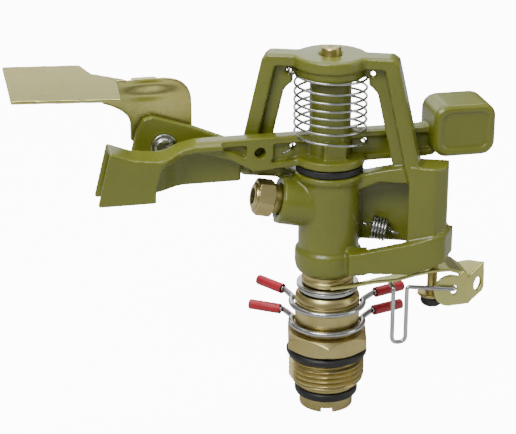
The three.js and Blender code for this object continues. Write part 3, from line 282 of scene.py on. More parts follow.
def olive_enamel():
    """Glossy stoved enamel over a die casting: slight orange peel, paler on rubbed edges."""
    material, tree, shader = new_material("olive_enamel", 0.0, coat=0.35, coat_roughness=0.2)
    grain = use_group(tree, GRAIN, Grain_size=520.0, Cloud_size=38.0)
    rubbing_and_shade = use_group(tree, RUBBING_AND_SHADE, Edge=0.545, Break_up=420.0)
    base = mix_colour(
        tree, grain.outputs["Cloud"], (0.128, 0.142, 0.010, 1), (0.165, 0.178, 0.014, 1)
    )
    edged = mix_colour(tree, rubbing_and_shade.outputs["Worn"], base, (0.30, 0.32, 0.07, 1))
    # painted shade: deep olive mixed into the hollows, where shade falls
    with_painted_shade = mix_colour(tree, rubbing_and_shade.outputs["Painted shade"], edged, (0.05, 0.055, 0.008, 1))
    roughness = span(tree, grain.outputs["Cloud"], 0.3, 0.44)
    finish_surface(tree, shader, with_painted_shade, roughness, grain.outputs["Grain"], 0.00005)
    return material


def turned_brass():
    """Brass off the lathe, with painted shade in its corners."""
    material, tree, shader = new_material("turned_brass", 1.0)
    grain = use_group(tree, GRAIN, Grain_size=1400.0, Cloud_size=85.0)
    rubbing_and_shade = use_group(tree, RUBBING_AND_SHADE, Edge=0.55, Break_up=500.0)
    lines = use_group(tree, LINES, Across=60.0, Along=5200.0)
    base = mix_colour(
        tree, grain.outputs["Cloud"], (0.47, 0.385, 0.15, 1), (0.60, 0.52, 0.24, 1)
    )
    edged = mix_colour(tree, rubbing_and_shade.outputs["Worn"], base, (0.78, 0.72, 0.42, 1))
    # painted shade: dark brown mixed into the corners, where shade falls
    with_painted_shade = mix_colour(tree, rubbing_and_shade.outputs["Painted shade"], edged, (0.16, 0.105, 0.035, 1))
    roughness = span(tree, lines.outputs["Lines"], 0.2, 0.46)
    finish_surface(tree, shader, with_painted_shade, roughness, lines.outputs["Lines"], 0.00004)
    return material


def passivated_sheet():
    """Zinc plated sheet with the faint yellow and green stains of its passivation."""
    material, tree, shader = new_material("passivated_sheet", 1.0)
    grain = use_group(tree, GRAIN, Grain_size=1100.0, Cloud_size=48.0)
    blush = use_group(tree, GRAIN, Grain_size=60.0, Cloud_size=22.0)
    rubbing_and_shade = use_group(tree, RUBBING_AND_SHADE, Edge=0.55, Break_up=380.0)
    warm = mix_colour(
        tree, grain.outputs["Cloud"], (0.60, 0.53, 0.17, 1), (0.70, 0.66, 0.27, 1)
    )
    stained = mix_colour(tree, blush.outputs["Cloud"], warm, (0.52, 0.53, 0.20, 1))
    edged = mix_colour(tree, rubbing_and_shade.outputs["Worn"], stained, (0.82, 0.81, 0.70, 1))
    roughness = span(tree, grain.outputs["Grain"], 0.2, 0.42)
    finish_surface(tree, shader, edged, roughness, grain.outputs["Grain"], 0.00002)
    return material


def zinc_wire():
    """Drawn steel wire with a bright zinc plating."""
    material, tree, shader = new_material("zinc_wire", 1.0)
    grain = use_group(tree, GRAIN, Grain_size=2200.0, Cloud_size=240.0)
    rubbing_and_shade = use_group(tree, RUBBING_AND_SHADE, Edge=0.56, Break_up=700.0)
    base = mix_colour(
        tree, grain.outputs["Cloud"], (0.40, 0.41, 0.41, 1), (0.60, 0.61, 0.60, 1)
    )
    # painted shade: dark grey mixed into the hollows, where shade falls
    with_painted_shade = mix_colour(tree, rubbing_and_shade.outputs["Painted shade"], base, (0.2, 0.2, 0.2, 1))
    roughness = span(tree, grain.outputs["Grain"], 0.14, 0.3)
    finish_surface(tree, shader, with_painted_shade, roughness, grain.outputs["Grain"], 0.00001)
    return material


def black_rubber():
    """Moulded rubber, dusty where it rubs."""
    material, tree, shader = new_material("black_rubber", 0.0)
    grain = use_group(tree, GRAIN, Grain_size=2600.0, Cloud_size=150.0)
    rubbing_and_shade = use_group(tree, RUBBING_AND_SHADE, Edge=0.56, Break_up=500.0)
    base = mix_colour(
        tree, grain.outputs["Cloud"], (0.008, 0.008, 0.009, 1), (0.02, 0.02, 0.021, 1)
    )
    dusty = mix_colour(tree, rubbing_and_shade.outputs["Worn"], base, (0.05, 0.05, 0.05, 1))
    roughness = span(tree, grain.outputs["Grain"], 0.34, 0.6)
    finish_surface(tree, shader, dusty, roughness, grain.outputs["Grain"], 0.00002)
    return material


def red_vinyl():
    """Dipped soft vinyl, paler on its edges."""
    material, tree, shader = new_material("red_vinyl", 0.0, coat=0.25, coat_roughness=0.3)
    grain = use_group(tree, GRAIN, Grain_size=1800.0, Cloud_size=180.0)
    rubbing_and_shade = use_group(tree, RUBBING_AND_SHADE, Edge=0.56, Break_up=600.0)
    base = mix_colour(
        tree, grain.outputs["Cloud"], (0.36, 0.006, 0.018, 1), (0.50, 0.012, 0.03, 1)
    )
    edged = mix_colour(tree, rubbing_and_shade.outputs["Worn"], base, (0.62, 0.07, 0.09, 1))
    roughness = span(tree, grain.outputs["Grain"], 0.34, 0.52)
    finish_surface(tree, shader, edged, roughness, grain.outputs["Grain"], 0.00002)
    return material


PAINT = olive_enamel()
BRASS = turned_brass()
SHEET = passivated_sheet()
WIRE = zinc_wire()
RUBBER = black_rubber()
VINYL = red_vinyl()

# ---------------------------------------------------------------- mesh helpers


def show(mesh, name, material, body, *replaced, sharp=None, blend=None):
    """Puts a finished mesh in the scene: rides it on its body, or bakes its place in when blend
    is given, and hides the parts it stands for.
    """
    mesh.materials.clear()
    mesh.materials.append(material)
    mesh.polygons.foreach_set("use_smooth", [True] * len(mesh.polygons))
    if sharp is not None:
        mesh.set_sharp_from_angle(angle=math.radians(sharp))
    piece = bpy.data.objects.new(name, mesh)
    bpy.context.scene.collection.objects.link(piece)
    if blend:
        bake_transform(piece)
    else:
        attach(piece, body)
    if replaced:
        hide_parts(*replaced)
    return piece


def mesh_from(name, points, faces):
    """A mesh in metres from millimetre points."""
    mesh = bpy.data.meshes.new(name)
    mesh.from_pydata([tuple(c * MM for c in p) for p in points], [], faces)
    mesh.validate()
    mesh.update()
    return mesh


def outward(mesh):
    """Merges doubles and turns every face out."""
    form = bmesh.new()
    form.from_mesh(mesh)
    bmesh.ops.remove_doubles(form, verts=form.verts, dist=1e-7)
    bmesh.ops.recalc_face_normals(form, faces=form.faces)
    form.to_mesh(mesh)
    form.free()
    return mesh


def applied(mesh, *modifiers):
    """The mesh with (kind, settings) modifiers applied to it."""
    holder = bpy.data.objects.new("holder", mesh)
    bpy.context.scene.collection.objects.link(holder)
    for kind, settings in modifiers:
        modifier = holder.modifiers.new(kind, kind)
        for key, value in settings.items():
            setattr(modifier, key, value)
    graph = bpy.context.evaluated_depsgraph_get()
    result = bpy.data.meshes.new_from_object(holder.evaluated_get(graph))
    bpy.data.objects.remove(holder)
    return result


def rounded(profile, radius, steps=4):
    """A closed profile of [r, z] with its corners rounded, except those on the axis."""
    out = []
    count = len(profile)
    for i, corner in enumerate(profile):
        here = Vector(corner)
        before = Vector(profile[i - 1])
        after = Vector(profile[(i + 1) % count])
        reach = min(radius, 0.45 * (here - before).length, 0.45 * (after - here).length)
        if here.x < 1e-6 or reach < 1e-3:
            out.append(tuple(here))
            continue
        start = here + (before - here).normalized() * reach
        end = here + (after - here).normalized() * reach
        for k in range(steps + 1):
            t = k / steps
            point = start * (1 - t) ** 2 + here * 2 * t * (1 - t) + end * t * t
            out.append(tuple(point))
    return out


def polar_surface(name, rows, sides, first_angle=0.0):
    """A closed mesh round Z from rows of (r, z), where r may be a function of angle and z."""
    points, faces = [], []
    count = len(rows)
    for i in range(sides):
        a = first_angle + TURN * i / sides
        for r, z in rows:
            reach = r(a, z) if callable(r) else r
            points.append((reach * math.cos(a), reach * math.sin(a), z))
        j = (i + 1) % sides
        for k in range(count):
            m = (k + 1) % count
            faces.append((i * count + k, j * count + k, j * count + m, i * count + m))
    return outward(mesh_from(name, points, faces))


def lathe(name, profile, radius=0.25, sides=96):
    """A turned mesh about Z from a closed profile, with rounded corners."""
    return polar_surface(name, rounded(profile, radius), sides)


def hexagon(flat, low, high, first_corner, edge, slope):
    """The radius of a hexagon whose two ends are chamfered, for a polar surface."""

    def radius(angle, z):
        off = ((angle - first_corner) % (TURN / 6)) - TURN / 12
        return min(flat / math.cos(off), flat - edge + min(z - low, high - z) * slope)

    return radius


def band(r_out, r_in, z0, z1):
    """The profile of a plain ring."""
    return [(r_in, z0), (r_out, z0), (r_out, z1), (r_in, z1)]


def placed(mesh, matrix):
    """Moves a mesh by a matrix whose shift is in millimetres."""
    scaled = matrix.copy()
    scaled.translation = scaled.translation * MM
    mesh.transform(scaled)
    return mesh


def cast_skin(node, voxel, passes):
    """The node's own shape with its edges rounded the way a die leaves them."""
    mesh = outward(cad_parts[node].data.copy())
    return applied(
        mesh,
        ("REMESH", {"mode": "VOXEL", "voxel_size": voxel * MM, "adaptivity": 0.0}),
        ("SMOOTH", {"factor": 0.5, "iterations": passes}),
    )


def cut_out(mesh, blade):
    """The mesh with a slot cut by the blade, which is used up."""
    cutter = bpy.data.objects.new("cutter", blade)
    bpy.context.scene.collection.objects.link(cutter)
    result = applied(mesh, ("BOOLEAN", {"object": cutter, "operation": "DIFFERENCE"}))
    bpy.data.objects.remove(cutter)
    return result


def bevelled(node, width):
    """The node's own shape with a small bevel on its sharp edges."""
    mesh = outward(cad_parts[node].data.copy())
    form = bmesh.new()
    form.from_mesh(mesh)
    bmesh.ops.dissolve_limit(
        form, angle_limit=math.radians(1.0), verts=form.verts, edges=form.edges
    )
    form.to_mesh(mesh)
    form.free()
    settings = {
        "width": width * MM,
        "segments": 2,
        "limit_method": "ANGLE",
        "angle_limit": math.radians(28),
        "use_clamp_overlap": True,
        "harden_normals": False,
    }
    return applied(mesh, ("BEVEL", settings))


def wire_tree():
    """Sweeps a round wire along a chain of edges."""
    tree = bpy.data.node_groups.new("round_wire", "GeometryNodeTree")
    face = tree.interface
    face.new_socket("Geometry", in_out="INPUT", socket_type="NodeSocketGeometry")
    face.new_socket("Wire radius", in_out="INPUT", socket_type="NodeSocketFloat")
    face.new_socket("Sides", in_out="INPUT", socket_type="NodeSocketInt")
    face.new_socket("Finish", in_out="INPUT", socket_type="NodeSocketMaterial")
    face.new_socket("Geometry", in_out="OUTPUT", socket_type="NodeSocketGeometry")
    start = tree.nodes.new("NodeGroupInput")
    end = tree.nodes.new("NodeGroupOutput")
    path = add(tree, "GeometryNodeMeshToCurve", {"Mesh": start.outputs["Geometry"]})
    ring = add(
        tree,
        "GeometryNodeCurvePrimitiveCircle",
        {"Resolution": start.outputs["Sides"], "Radius": start.outputs["Wire radius"]},
    )
    swept = add(
        tree,
        "GeometryNodeCurveToMesh",
        {"Curve": path.outputs[0], "Profile Curve": ring.outputs[0], "Fill Caps": True},
    )
    real = add(tree, "GeometryNodeRealizeInstances", {"Geometry": swept.outputs[0]})
    painted = add(
        tree,
        "GeometryNodeSetMaterial",
        {"Geometry": real.outputs[0], "Material": start.outputs["Finish"]},
    )
    tree.links.new(painted.outputs[0], end.inputs["Geometry"])
    return tree


WIRE_TREE = wire_tree()


def run_tree(mesh, tree, values):
    """Runs a geometry tree on a mesh with its inputs set by name, and returns a plain mesh."""
    holder = bpy.data.objects.new("holder", mesh)
    bpy.context.scene.collection.objects.link(holder)
    modifier = holder.modifiers.new("tree", "NODES")
    modifier.node_group = tree
    for item in tree.interface.items_tree:
        if item.item_type == "SOCKET" and item.in_out == "INPUT" and item.name in values:
            modifier[item.identifier] = values[item.name]
    graph = bpy.context.evaluated_depsgraph_get()
    result = bpy.data.meshes.new_from_object(holder.evaluated_get(graph))
    holder.modifiers.clear()
    bpy.data.objects.remove(holder)
    return result


def wire_mesh(name, points, diameter, material, sides):
    """A round wire through the points."""
    path = bpy.data.meshes.new(name)
    links = [(i, i + 1) for i in range(len(points) - 1)]
    path.from_pydata([tuple(c * MM for c in p) for p in points], links, [])
    values = {"Wire radius": diameter / 2 * MM, "Sides": sides, "Finish": material}
    return run_tree(path, WIRE_TREE, values)


def eased(points, per_span=8):
    """A smooth chain through the points: a Catmull-Rom curve with even steps."""
    points = [Vector(p) for p in points]
    ends = [points[0] * 2 - points[1], *points, points[-1] * 2 - points[-2]]
    out = []
    for i in range(1, len(ends) - 2):
        p0, p1, p2, p3 = ends[i - 1 : i + 3]
        for k in range(per_span):
            t = k / per_span
            out.append(
                0.5
                * (
                    2 * p1
                    + (p2 - p0) * t
                    + (2 * p0 - 5 * p1 + 4 * p2 - p3) * t * t
                    + (3 * p1 - p0 - 3 * p2 + p3) * t**3
                )
            )
    return [*out, points[-1]]


def bent(corners, bends, steps=8):
    """Straight runs joined by round bends, each with its own reach."""
    corners = [Vector(c) for c in corners]
    out = [corners[0]]
    for before, here, after, bend in zip(corners, corners[1:], corners[2:], bends):
        start = here + (before - here).normalized() * bend
        end = here + (after - here).normalized() * bend
        for k in range(steps + 1):
            t = k / steps
            out.append(start * (1 - t) ** 2 + here * 2 * t * (1 - t) + end * t * t)
    return [*out, corners[-1]]


def around(r, a, z):
    """The point at radius r, angle a and height z."""
    return Vector((r * math.cos(a), r * math.sin(a), z))


# ---------------------------------------------------------------- inlet


def thread_radius(angle, z):
    """The outside of the thread: a helix that fades in at its lower end."""
    root = THREAD_R - THREAD_DEPTH
    phase = ((z - THREAD[0]) / THREAD_PITCH - angle / TURN) % 1.0
    ridge = min(1.0, max(0.0, (0.5 - abs(phase - 0.5)) * 2.5 - 0.12))
    fade_in = min(1.0, max(0.0, (z - THREAD[0] - 0.1) / 1.3))
    fade_out = min(1.0, max(0.0, (THREAD[1] - z) / 0.7))
    return root + THREAD_DEPTH * ridge * fade_in * fade_out


def inlet_nipple():
    root = THREAD_R - THREAD_DEPTH
    bottom, top = NIPPLE
    bore, counterbore = TUBE_R + 0.1, 9.2
    rows = [(bore, bottom), (root - 0.9, bottom), (root - 0.2, bottom + 0.3)]
    thread_low, thread_high = THREAD
    row_height = 0.13
    count = round((thread_high - thread_low) / row_height)
    for i in range(count + 1):
        rows.append((thread_radius, thread_low + (thread_high - thread_low) * i / count))
    rows += [(11.0, thread_high + 0.02), (10.9, thread_high + 0.3)]

    low, high = HEX
    slope = 0.9 / math.tan(math.radians(30))
    hex_radius = hexagon(HEX_FLAT, low, high, HEX_CORNER_ANGLE, 0.3, slope)
    steps = [0.02, 0.1, 0.25, 0.4, 0.6, 0.8, 1.0, 1.2, 1.5, 2.2]
    rows += [(10.9, low - 0.2), (11.2, low), (HEX_FLAT - 0.4, low)]
    rows += [(hex_radius, low + h) for h in steps]
    rows += [(hex_radius, high - h) for h in reversed(steps)]
    rows += [(HEX_FLAT - 0.4, high), (BAND_R + 0.5, high), (BAND_R - 0.35, high + 0.25)]
    rows += [(BAND_R - 0.5, high + 0.9), (BAND_R - 0.1, high + 1.5), (BAND_R, high + 1.8)]
    rows += [(BAND_R, top - 3.6), (BAND_R - 0.35, top - 3.3), (BAND_R - 0.35, top - 2.6)]
    rows += [(BAND_R, top - 2.3), (BAND_R - 0.1, top - 1.6), (BAND_R - 0.8, top - 0.15)]
    rows += [(BAND_R - 1.0, top), (9.35, top), (counterbore, top - 0.15)]
    rows += [(counterbore, COUNTERBORE_FLOOR), (bore, COUNTERBORE_FLOOR)]
    mesh = polar_surface("inlet_nipple", rows, 240, HEX_CORNER_ANGLE)
    show(mesh, "nipple_turned", BRASS, "inlet", "inlet_nipple", sharp=35)


def bearing_parts():
    profile = [(WATER_WAY_R, 0), (TUBE_FOOT_R, 0), (TUBE_FOOT_R, FOOT_TOP), (TUBE_R, FOOT_TOP)]
    profile += [(TUBE_R, TUBE_TOP), (WATER_WAY_R, TUBE_TOP)]
    blade = box_mesh("foot_slot", (-20, -1.9, -2), (20, 1.9, 1.6))
    blade.transform(Matrix.Rotation(HEX_CORNER_ANGLE, 4, "Z"))
    tube = cut_out(lathe("tube", profile, 0.35), blade)
    show(tube, "tube_turned", BRASS, "rotor", "bearing_tube", sharp=35)
    foot = lathe("foot_seal", band(11.1, ROUND_TUBE, *SEAL), 1.3)
    show(foot, "foot_seal_round", RUBBER, "inlet", "foot_seal")
    slip = lathe("slip_washer", band(10.4, ROUND_TUBE, *SLIP_WASHER), 0.25)
    show(slip, "slip_washer_turned", BRASS, "inlet", "slip_washer", sharp=40)
    hex_seal = lathe("hex_seal", ring_section(12.66, HEX_SEAL_MIDDLE, 1.5), 0.0)
    show(hex_seal, "hex_seal_round", RUBBER, "inlet", "hex_seal")
    for name, z in zip(("lower", "upper"), THRUST_WASHERS):
        washer = lathe(name, band(10.8, ROUND_TUBE, z, z + 0.6), 0.28)
        show(washer, name + "_washer_turned", WIRE, "inlet", name + "_thrust_washer")
    low, high = THRUST_RING
    profile = [(6.8, low), (9, low), (9, 48.1), (8.6, 48.5), (8.6, 48.9), (9, 49.3)]
    profile += [(9, high), (6.8, high)]
    ring = lathe("ring", profile, 0.2)
    show(ring, "thrust_ring_turned", BRASS, "rotor", "thrust_ring", sharp=40)


def ring_section(r, z, half, steps=20):
    """The round profile of a seal ring."""
    return [
        (r + half * math.cos(TURN * k / steps), z + half * math.sin(TURN * k / steps))
        for k in range(steps)
    ]


def box_mesh(name, low, high):
    """A box between two corners."""
    mesh = bpy.data.meshes.new(name)
    form = bmesh.new()
    bmesh.ops.create_cube(form, size=1.0)
    size = Vector(high) - Vector(low)
    centre = (Vector(high) + Vector(low)) / 2
    for vert in form.verts:
        vert.co = (Vector(a * b for a, b in zip(vert.co, size)) + centre) * MM
    form.to_mesh(mesh)
    form.free()
    return mesh


# ---------------------------------------------------------------- stop collars

TAIL_START = 16.2
TAIL_LENGTH = 14.2
GRIP_LENGTH = 12.0
COLLAR_R = 12.5
COLLAR_WIRE = 2.0


def tail_point(tail, distance, z):
    """A point along a tail, which is (the angle where it starts, its direction)."""
    at, along = (math.radians(v) for v in tail)
    return around(TAIL_START, at, z) + Vector((math.cos(along), math.sin(along), 0)) * distance


def collar(name, body, right, left, z):
    """A sprung wire clip round the front of the nipple, with a vinyl grip on each tail."""
    turn_out, steps = 16, 22
    start, end = right[0] - turn_out, left[0] - 360 + turn_out
    reach = (TAIL_LENGTH - 1.5, 8, 5, 2.4, 1.2)
    points = [tail_point(right, d, z) for d in reach]
    for i in range(steps + 1):
        points.append(around(COLLAR_R, math.radians(start + (end - start) * i / steps), z))
    points += [tail_point(left, d, z) for d in reversed(reach)]
    wire = wire_mesh(name, eased(points, 6), COLLAR_WIRE, WIRE, 16)
    show(wire, name + "_wire_bent", WIRE, body, name + "_wire")
    profile = [(1.35, 0), (1.85, 0), (1.8, 1.2), (1.8, GRIP_LENGTH - 0.2)]
    profile += [(0, GRIP_LENGTH - 0.1), (0, GRIP_LENGTH - 1), (1.35, GRIP_LENGTH - 1)]
    level = name.split("_")[0]
    lie_down = Matrix.Rotation(math.pi / 2, 4, "Y")
    for side, tail in (("left", left), ("right", right)):
        grip = lathe("grip", profile, 0.45, 40)
        start = tail_point(tail, TAIL_LENGTH - GRIP_LENGTH, z)
        turn = Matrix.Rotation(math.radians(tail[1]), 4, "Z") @ lie_down
        placed(grip, Matrix.Translation(start) @ turn)
        node = f"{level}_{side}_grip"
        show(grip, node + "_vinyl", VINYL, body, node, sharp=50)


# ---------------------------------------------------------------- castings, nozzle and pin


def castings():
    body = cast_skin("body_casting", 0.55, 7)
    show(body, "body_die_casting", PAINT, "rotor", "body_casting", sharp=CAST_SHARP)
    arm = cast_skin("drive_arm", 0.5, 7)
    show(arm, "arm_die_casting", PAINT, "arm", "drive_arm", sharp=CAST_SHARP)


def nozzle():
    """Built along Z with its mouth down, then laid along the jet."""
    mouth, hex_end, neck, stem = -9.0, -8.2, -2.2, 7.0
    hex_radius = hexagon(5.6, hex_end, neck, -TURN / 12, 0.15, 1.7)
    steps = (0.05, 0.2, 0.4, 0.6, 0.9)
    rows = [(2.8, mouth), (3.9, mouth), (4.4, mouth + 0.3), (4.6, hex_end), (5.3, hex_end)]
    rows += [(hex_radius, hex_end + h) for h in steps]
    rows += [(hex_radius, neck - h) for h in reversed(steps)]
    rows += [(5.1, neck), (5.0, neck + 0.3), (5.0, stem), (4.0, stem), (2.8, -6.6)]
    mesh = polar_surface("nozzle", rows, 120)
    placed(mesh, Matrix.Translation(NOZZLE_FACE) @ Matrix.Rotation(JET_TILT, 4, "Y"))
    show(mesh, "nozzle_turned", BRASS, "rotor", "range_nozzle", sharp=30)


def fulcrum():
    bottom, top = PIN
    profile = [(0, bottom), (3.3, bottom), (3.3, top - 0.5), (2.9, top), (0.9, top)]
    profile.append((0, top - 0.35))
    pin = lathe("pin", profile, 0.3, 64)
    show(pin, "pin_turned", BRASS, "rotor", "fulcrum_pin", sharp=40)
    washer = lathe("pivot", band(11.4, 3.6, *PIVOT_WASHER), 0.5)
    show(washer, "pivot_washer_moulded", RUBBER, "rotor", "pivot_washer", sharp=45)


def arm_spring():
    """Hooked in the bridge's web at the top and in the arm's web below.

    The lower end goes through the arm's web and out again on the other side.
    """
    r = 12.0
    fronts = [120.5, 116.9, 113.9, 111.1, 108.5, 105.9, 103.2, 99.8]  # height in front, by turn
    turns = len(fronts) - 1
    start, front, run_out, step = 172.0, 258.0, 84, 15  # degrees
    low_end = front + 360 * turns + run_out
    bridge = Matrix.Rotation(BRIDGE_ANGLE, 3, "Z")
    along, across = bridge @ Vector((1, 0, 0)), bridge @ Vector((0, 1, 0))
    hole = along * -14.0 + Vector((0, 0, 121.4))
    points = [hole + across * 2.2 - along * 1.4, hole + across * 1.3]
    points += [hole - across * 1.3, hole - across * 2.6 + along * 0.7]
    angle = start
    while angle <= low_end:
        t = (angle - front) / 360
        k = max(0, min(turns - 1, math.floor(t)))
        z = fronts[k] + (fronts[k + 1] - fronts[k]) * (t - k)
        if t < 0:
            z = fronts[0] + 0.8 * (front - angle) / (front - start)
        if t > turns:
            z = fronts[-1] - (angle - front - 360 * turns) / run_out * 2.4
        points.append(around(r, math.radians(angle), z))
        angle += step
    points += [Vector((11.8, -1.5, 97.1)), Vector((11.8, 1.5, 96.9))]
    points += [around(11.6, math.radians(a), 96.9) for a in range(30, 166, step)]
    points += [Vector((-12.6, 1.6, 96.9)), Vector((-13.0, -1.2, 96.8))]
    points += [Vector((-14.6, -3.4, 96.4)), Vector((-17.4, -4.8, 95.6))]
    mesh = wire_mesh("arm_spring", eased(points, 4), 0.85, WIRE, 10)
    ends = ((0, 0, 0.1215), (0, 0, 0.0985))
    show(mesh, "arm_spring_wound", WIRE, None, "arm_spring", blend=("rotor", "arm", *ends))


# ---------------------------------------------------------------- flap and trip parts


def press_dimple(mesh):
    """Draws the web in where the paddle is folded out of it, as a press tool does."""
    middle_x, middle_z, front = -59, 117.4, 9.5
    dent, swell = 0.9, 0.5
    for vert in mesh.vertices:
        if vert.co.y / MM <= front:
            continue
        x, z = vert.co.x / MM - middle_x, vert.co.z / MM - middle_z
        vert.co.y += dent * MM * math.exp(-((x / 6.5) ** 2) - ((z / 1.7) ** 2))
        vert.co.y -= swell * MM * math.exp(-((x / 7.5) ** 2) - (((z + 3.2) / 1.8) ** 2))
    mesh.update()


def flap_parts():
    flap = cast_skin("deflector_flap", 0.3, 6)
    press_dimple(flap)
    show(flap, "flap_pressed", SHEET, "flap", "deflector_flap", sharp=CAST_SHARP)
    place = Matrix.Translation(Vector((FLAP_PIVOT.x, 6.2, FLAP_PIVOT.z)))
    turn = place @ Matrix.Rotation(math.pi / 2, 4, "X")
    profile = [(0, 2.4), (2.7, 2.3), (3.1, 1.9), (3.15, 1.2), (4.2, 1.1), (4.4, 0.9), (4.4, 0)]
    profile += [(2, 0), (2, -8.9), (0, -8.9)]
    head = placed(lathe("screw", profile, 0.2, 64), turn)
    blade = box_mesh("screw_slot", (-6, -3.6, -0.6), (6, -1.3, 0.6))
    blade.transform(Matrix.Rotation(SCREW_SLOT_TURN, 4, "Y"))
    slotted = cut_out(head, placed(blade, place))
    show(slotted, "flap_screw_turned", WIRE, "rotor", "flap_screw", sharp=35)
    show(bevelled("flap_nut", 0.35), "flap_nut_hex", WIRE, "rotor", "flap_nut", sharp=35)


def trip_parts():
    lever = cast_skin("trip_lever", 0.24, 4)
    show(lever, "trip_lever_pressed", SHEET, "trip", "trip_lever", sharp=CAST_SHARP)
    z = TRIP_FLANGE
    profile = [(0, z - 2.4), (1.35, z - 2.4), (1.35, z - 0.1), (4.7, z), (5.1, z + 0.4)]
    profile += [(4.8, z + 1.2), (2.35, z + 1.2), (2.35, z + 2.6), (1.75, z + 2.6)]
    profile += [(1.75, TRIP_POST_TOP), (0, TRIP_POST_TOP)]
    at = Matrix.Translation(TRIP_POST)
    post = placed(lathe("post", profile, 0.25, 64), at)
    show(post, "trip_post_turned", BRASS, "rotor", "trip_post", sharp=35)
    top = z - 0.4
    profile = [(1.65, top - 3.4), (2.9, top - 3.4), (3.8, top - 2.4), (3.9, top - 0.6)]
    profile += [(3.6, top), (1.65, top)]
    bumper = placed(lathe("bumper", profile, 0.5, 64), at)
    show(bumper, "bumper_moulded", RUBBER, "rotor", "rubber_bumper")
    hairpin()


def hairpin():
    """From the hole in the lever's ear along its front, down, across and up to its hook."""
    hole_x, hole_z = 41.4, 45.42
    left, right, y, high, drop = 19.4, 24.2, -14.4, 47.97, 20.5
    low = high - drop
    corners = [(hole_x, -12.75, hole_z), (hole_x, y, hole_z), (right, y, high), (right, y, low)]
    corners += [(left, y, low), (left, y, high), (left, y + 4, high)]
    line = bent(corners, (1.2, 1.2, 2.3, 2.3, 1.2))
    wire = wire_mesh("hairpin", line, 1.5, WIRE, 16)
    show(wire, "hairpin_bent", WIRE, "hairpin", "trip_wire")


def over_centre_spring():
    turns, r, half, steps = 5.0, 3.6, 2.6, 72
    points = [Vector((-5.4, 0, 0)), Vector((-4.2, 0, 0))]
    for i in range(steps + 1):
        t = i / steps
        a = TURN * turns * t
        points.append(Vector(((2 * t - 1) * half, r * math.cos(a), r * math.sin(a))))
    points += [Vector((4.2, 0, 0)), Vector((6.6, 0, 0))]
    place = Matrix.Rotation(BRIDGE_ANGLE, 4, "Z")
    place = place @ Matrix.Translation(Vector((17.2, 1.6, 66.42)))
    place = place @ Matrix.Rotation(math.radians(14), 4, "Y")
    points = [place @ p for p in eased(points, 3)]
    mesh = wire_mesh("trip_spring", points, 0.9, WIRE, 12)
    show(mesh, "trip_spring_wound", WIRE, "rotor", "over_centre_spring")


def carried_over():
    """Inner pieces that keep their own solid get a finish."""
    finishes = {"bearing_spring": WIRE, "spring_seat": WIRE, "arm_bush": BRASS}
    for node, material in finishes.items():
        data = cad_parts[node].data
        data.materials.clear()
        data.materials.append(material)


# ---------------------------------------------------------------- studio


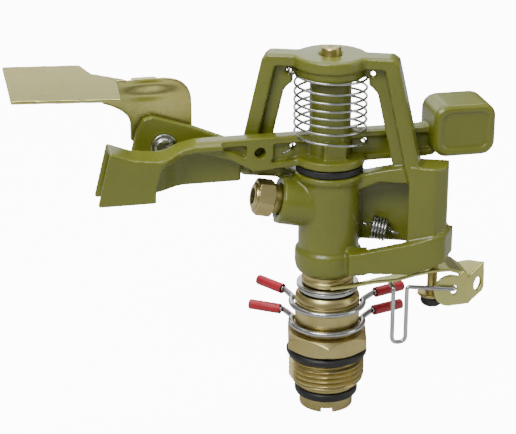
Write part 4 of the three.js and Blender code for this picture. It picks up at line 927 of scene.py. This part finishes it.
def studio():
    """White paper that only shows white to the camera, a soft sky and four softboxes."""
    floor_mesh = bpy.data.meshes.new("floor")
    half = 4.0  # metres
    corners = [(-half, -half, 0), (half, -half, 0), (half, half, 0), (-half, half, 0)]
    floor_mesh.from_pydata(corners, [], [(0, 1, 2, 3)])
    floor = bpy.data.objects.new("floor", floor_mesh)
    bpy.context.scene.collection.objects.link(floor)
    floor.location.z = -0.2 * MM
    material, tree, shader = new_material("floor_paper", 0.0)
    seen = tree.nodes.new("ShaderNodeLightPath").outputs["Is Camera Ray"]
    paper = mix_colour(tree, seen, (0.5, 0.5, 0.49, 1), (0.93, 0.93, 0.93, 1))
    tree.links.new(paper, shader.inputs["Base Color"])
    shader.inputs["Roughness"].default_value = 0.9
    shader.inputs["Emission Color"].default_value = (1, 1, 1, 1)
    glow = span(tree, seen, 0.0, 11.0)
    tree.links.new(glow, shader.inputs["Emission Strength"])
    floor_mesh.materials.append(material)

    world = bpy.data.worlds.new("studio")
    bpy.context.scene.world = world
    world.use_nodes = True
    tree = world.node_tree
    back = tree.nodes["Background"]
    where = tree.nodes.new("ShaderNodeTexCoord").outputs["Generated"]
    height = add(tree, "ShaderNodeSeparateXYZ", {"Vector": where}).outputs["Z"]
    sky = mix_colour(tree, ramp(tree, height, 0.0, 0.9), (0.16, 0.165, 0.17, 1), (1, 1, 1, 1))
    tree.links.new(sky, back.inputs["Color"])
    back.inputs["Strength"].default_value = 0.55

    centre = Vector((0, 0, 0.07))

    def softbox(name, place, size, power):
        """An area light at a place in metres that faces the middle of the object."""
        light = bpy.data.lights.new(name, "AREA")
        light.shape = "RECTANGLE"
        light.size, light.size_y = size
        light.energy = power
        lamp = bpy.data.objects.new(name, light)
        lamp.location = Vector(place)
        lamp.rotation_euler = (centre - Vector(place)).to_track_quat("-Z", "Y").to_euler()
        bpy.context.scene.collection.objects.link(lamp)

    softbox("key", (-0.4, -0.45, 0.7), (0.4, 0.35), 6.0)
    softbox("fill", (0.75, -0.35, 0.3), (0.25, 0.6), 1.2)
    softbox("top", (0.0, 0.2, 0.85), (0.9, 0.4), 5.5)
    softbox("back", (-0.1, 0.95, 0.4), (0.9, 0.3), 1.8)


def camera():
    """Looks at a point on the axis, from the front, a little left and above."""
    sideways = Vector((math.cos(CAMERA_AZIMUTH), math.sin(CAMERA_AZIMUTH), 0))
    depth = Vector((-math.sin(CAMERA_AZIMUTH), math.cos(CAMERA_AZIMUTH), 0))
    back = -depth * math.cos(CAMERA_ELEVATION) + Vector((0, 0, math.sin(CAMERA_ELEVATION)))
    up = back.cross(sideways)
    target = -sideways * CAMERA_SIDE + Vector((0, 0, CAMERA_TARGET_Z))
    lens = bpy.data.cameras.new("camera")
    lens.lens = CAMERA_LENS
    lens.sensor_width = 36
    lens.clip_start, lens.clip_end = 0.01, 20
    eye = bpy.data.objects.new("camera", lens)
    turn = Matrix((sideways, up, back)).transposed().to_4x4()
    eye.matrix_world = Matrix.Translation((target + back * CAMERA_DISTANCE) * MM) @ turn
    bpy.context.scene.collection.objects.link(eye)
    bpy.context.scene.camera = eye


camera()
inlet_nipple()
bearing_parts()
collar("lower_collar", "lower_collar", (13, 17.2), (137.5, 146.5), LOWER_COLLAR)
collar("upper_collar", "upper_collar", (9, 19.8), (136, 123.6), UPPER_COLLAR)
castings()
nozzle()
fulcrum()
arm_spring()
flap_parts()
trip_parts()
over_centre_spring()
carried_over()
studio()
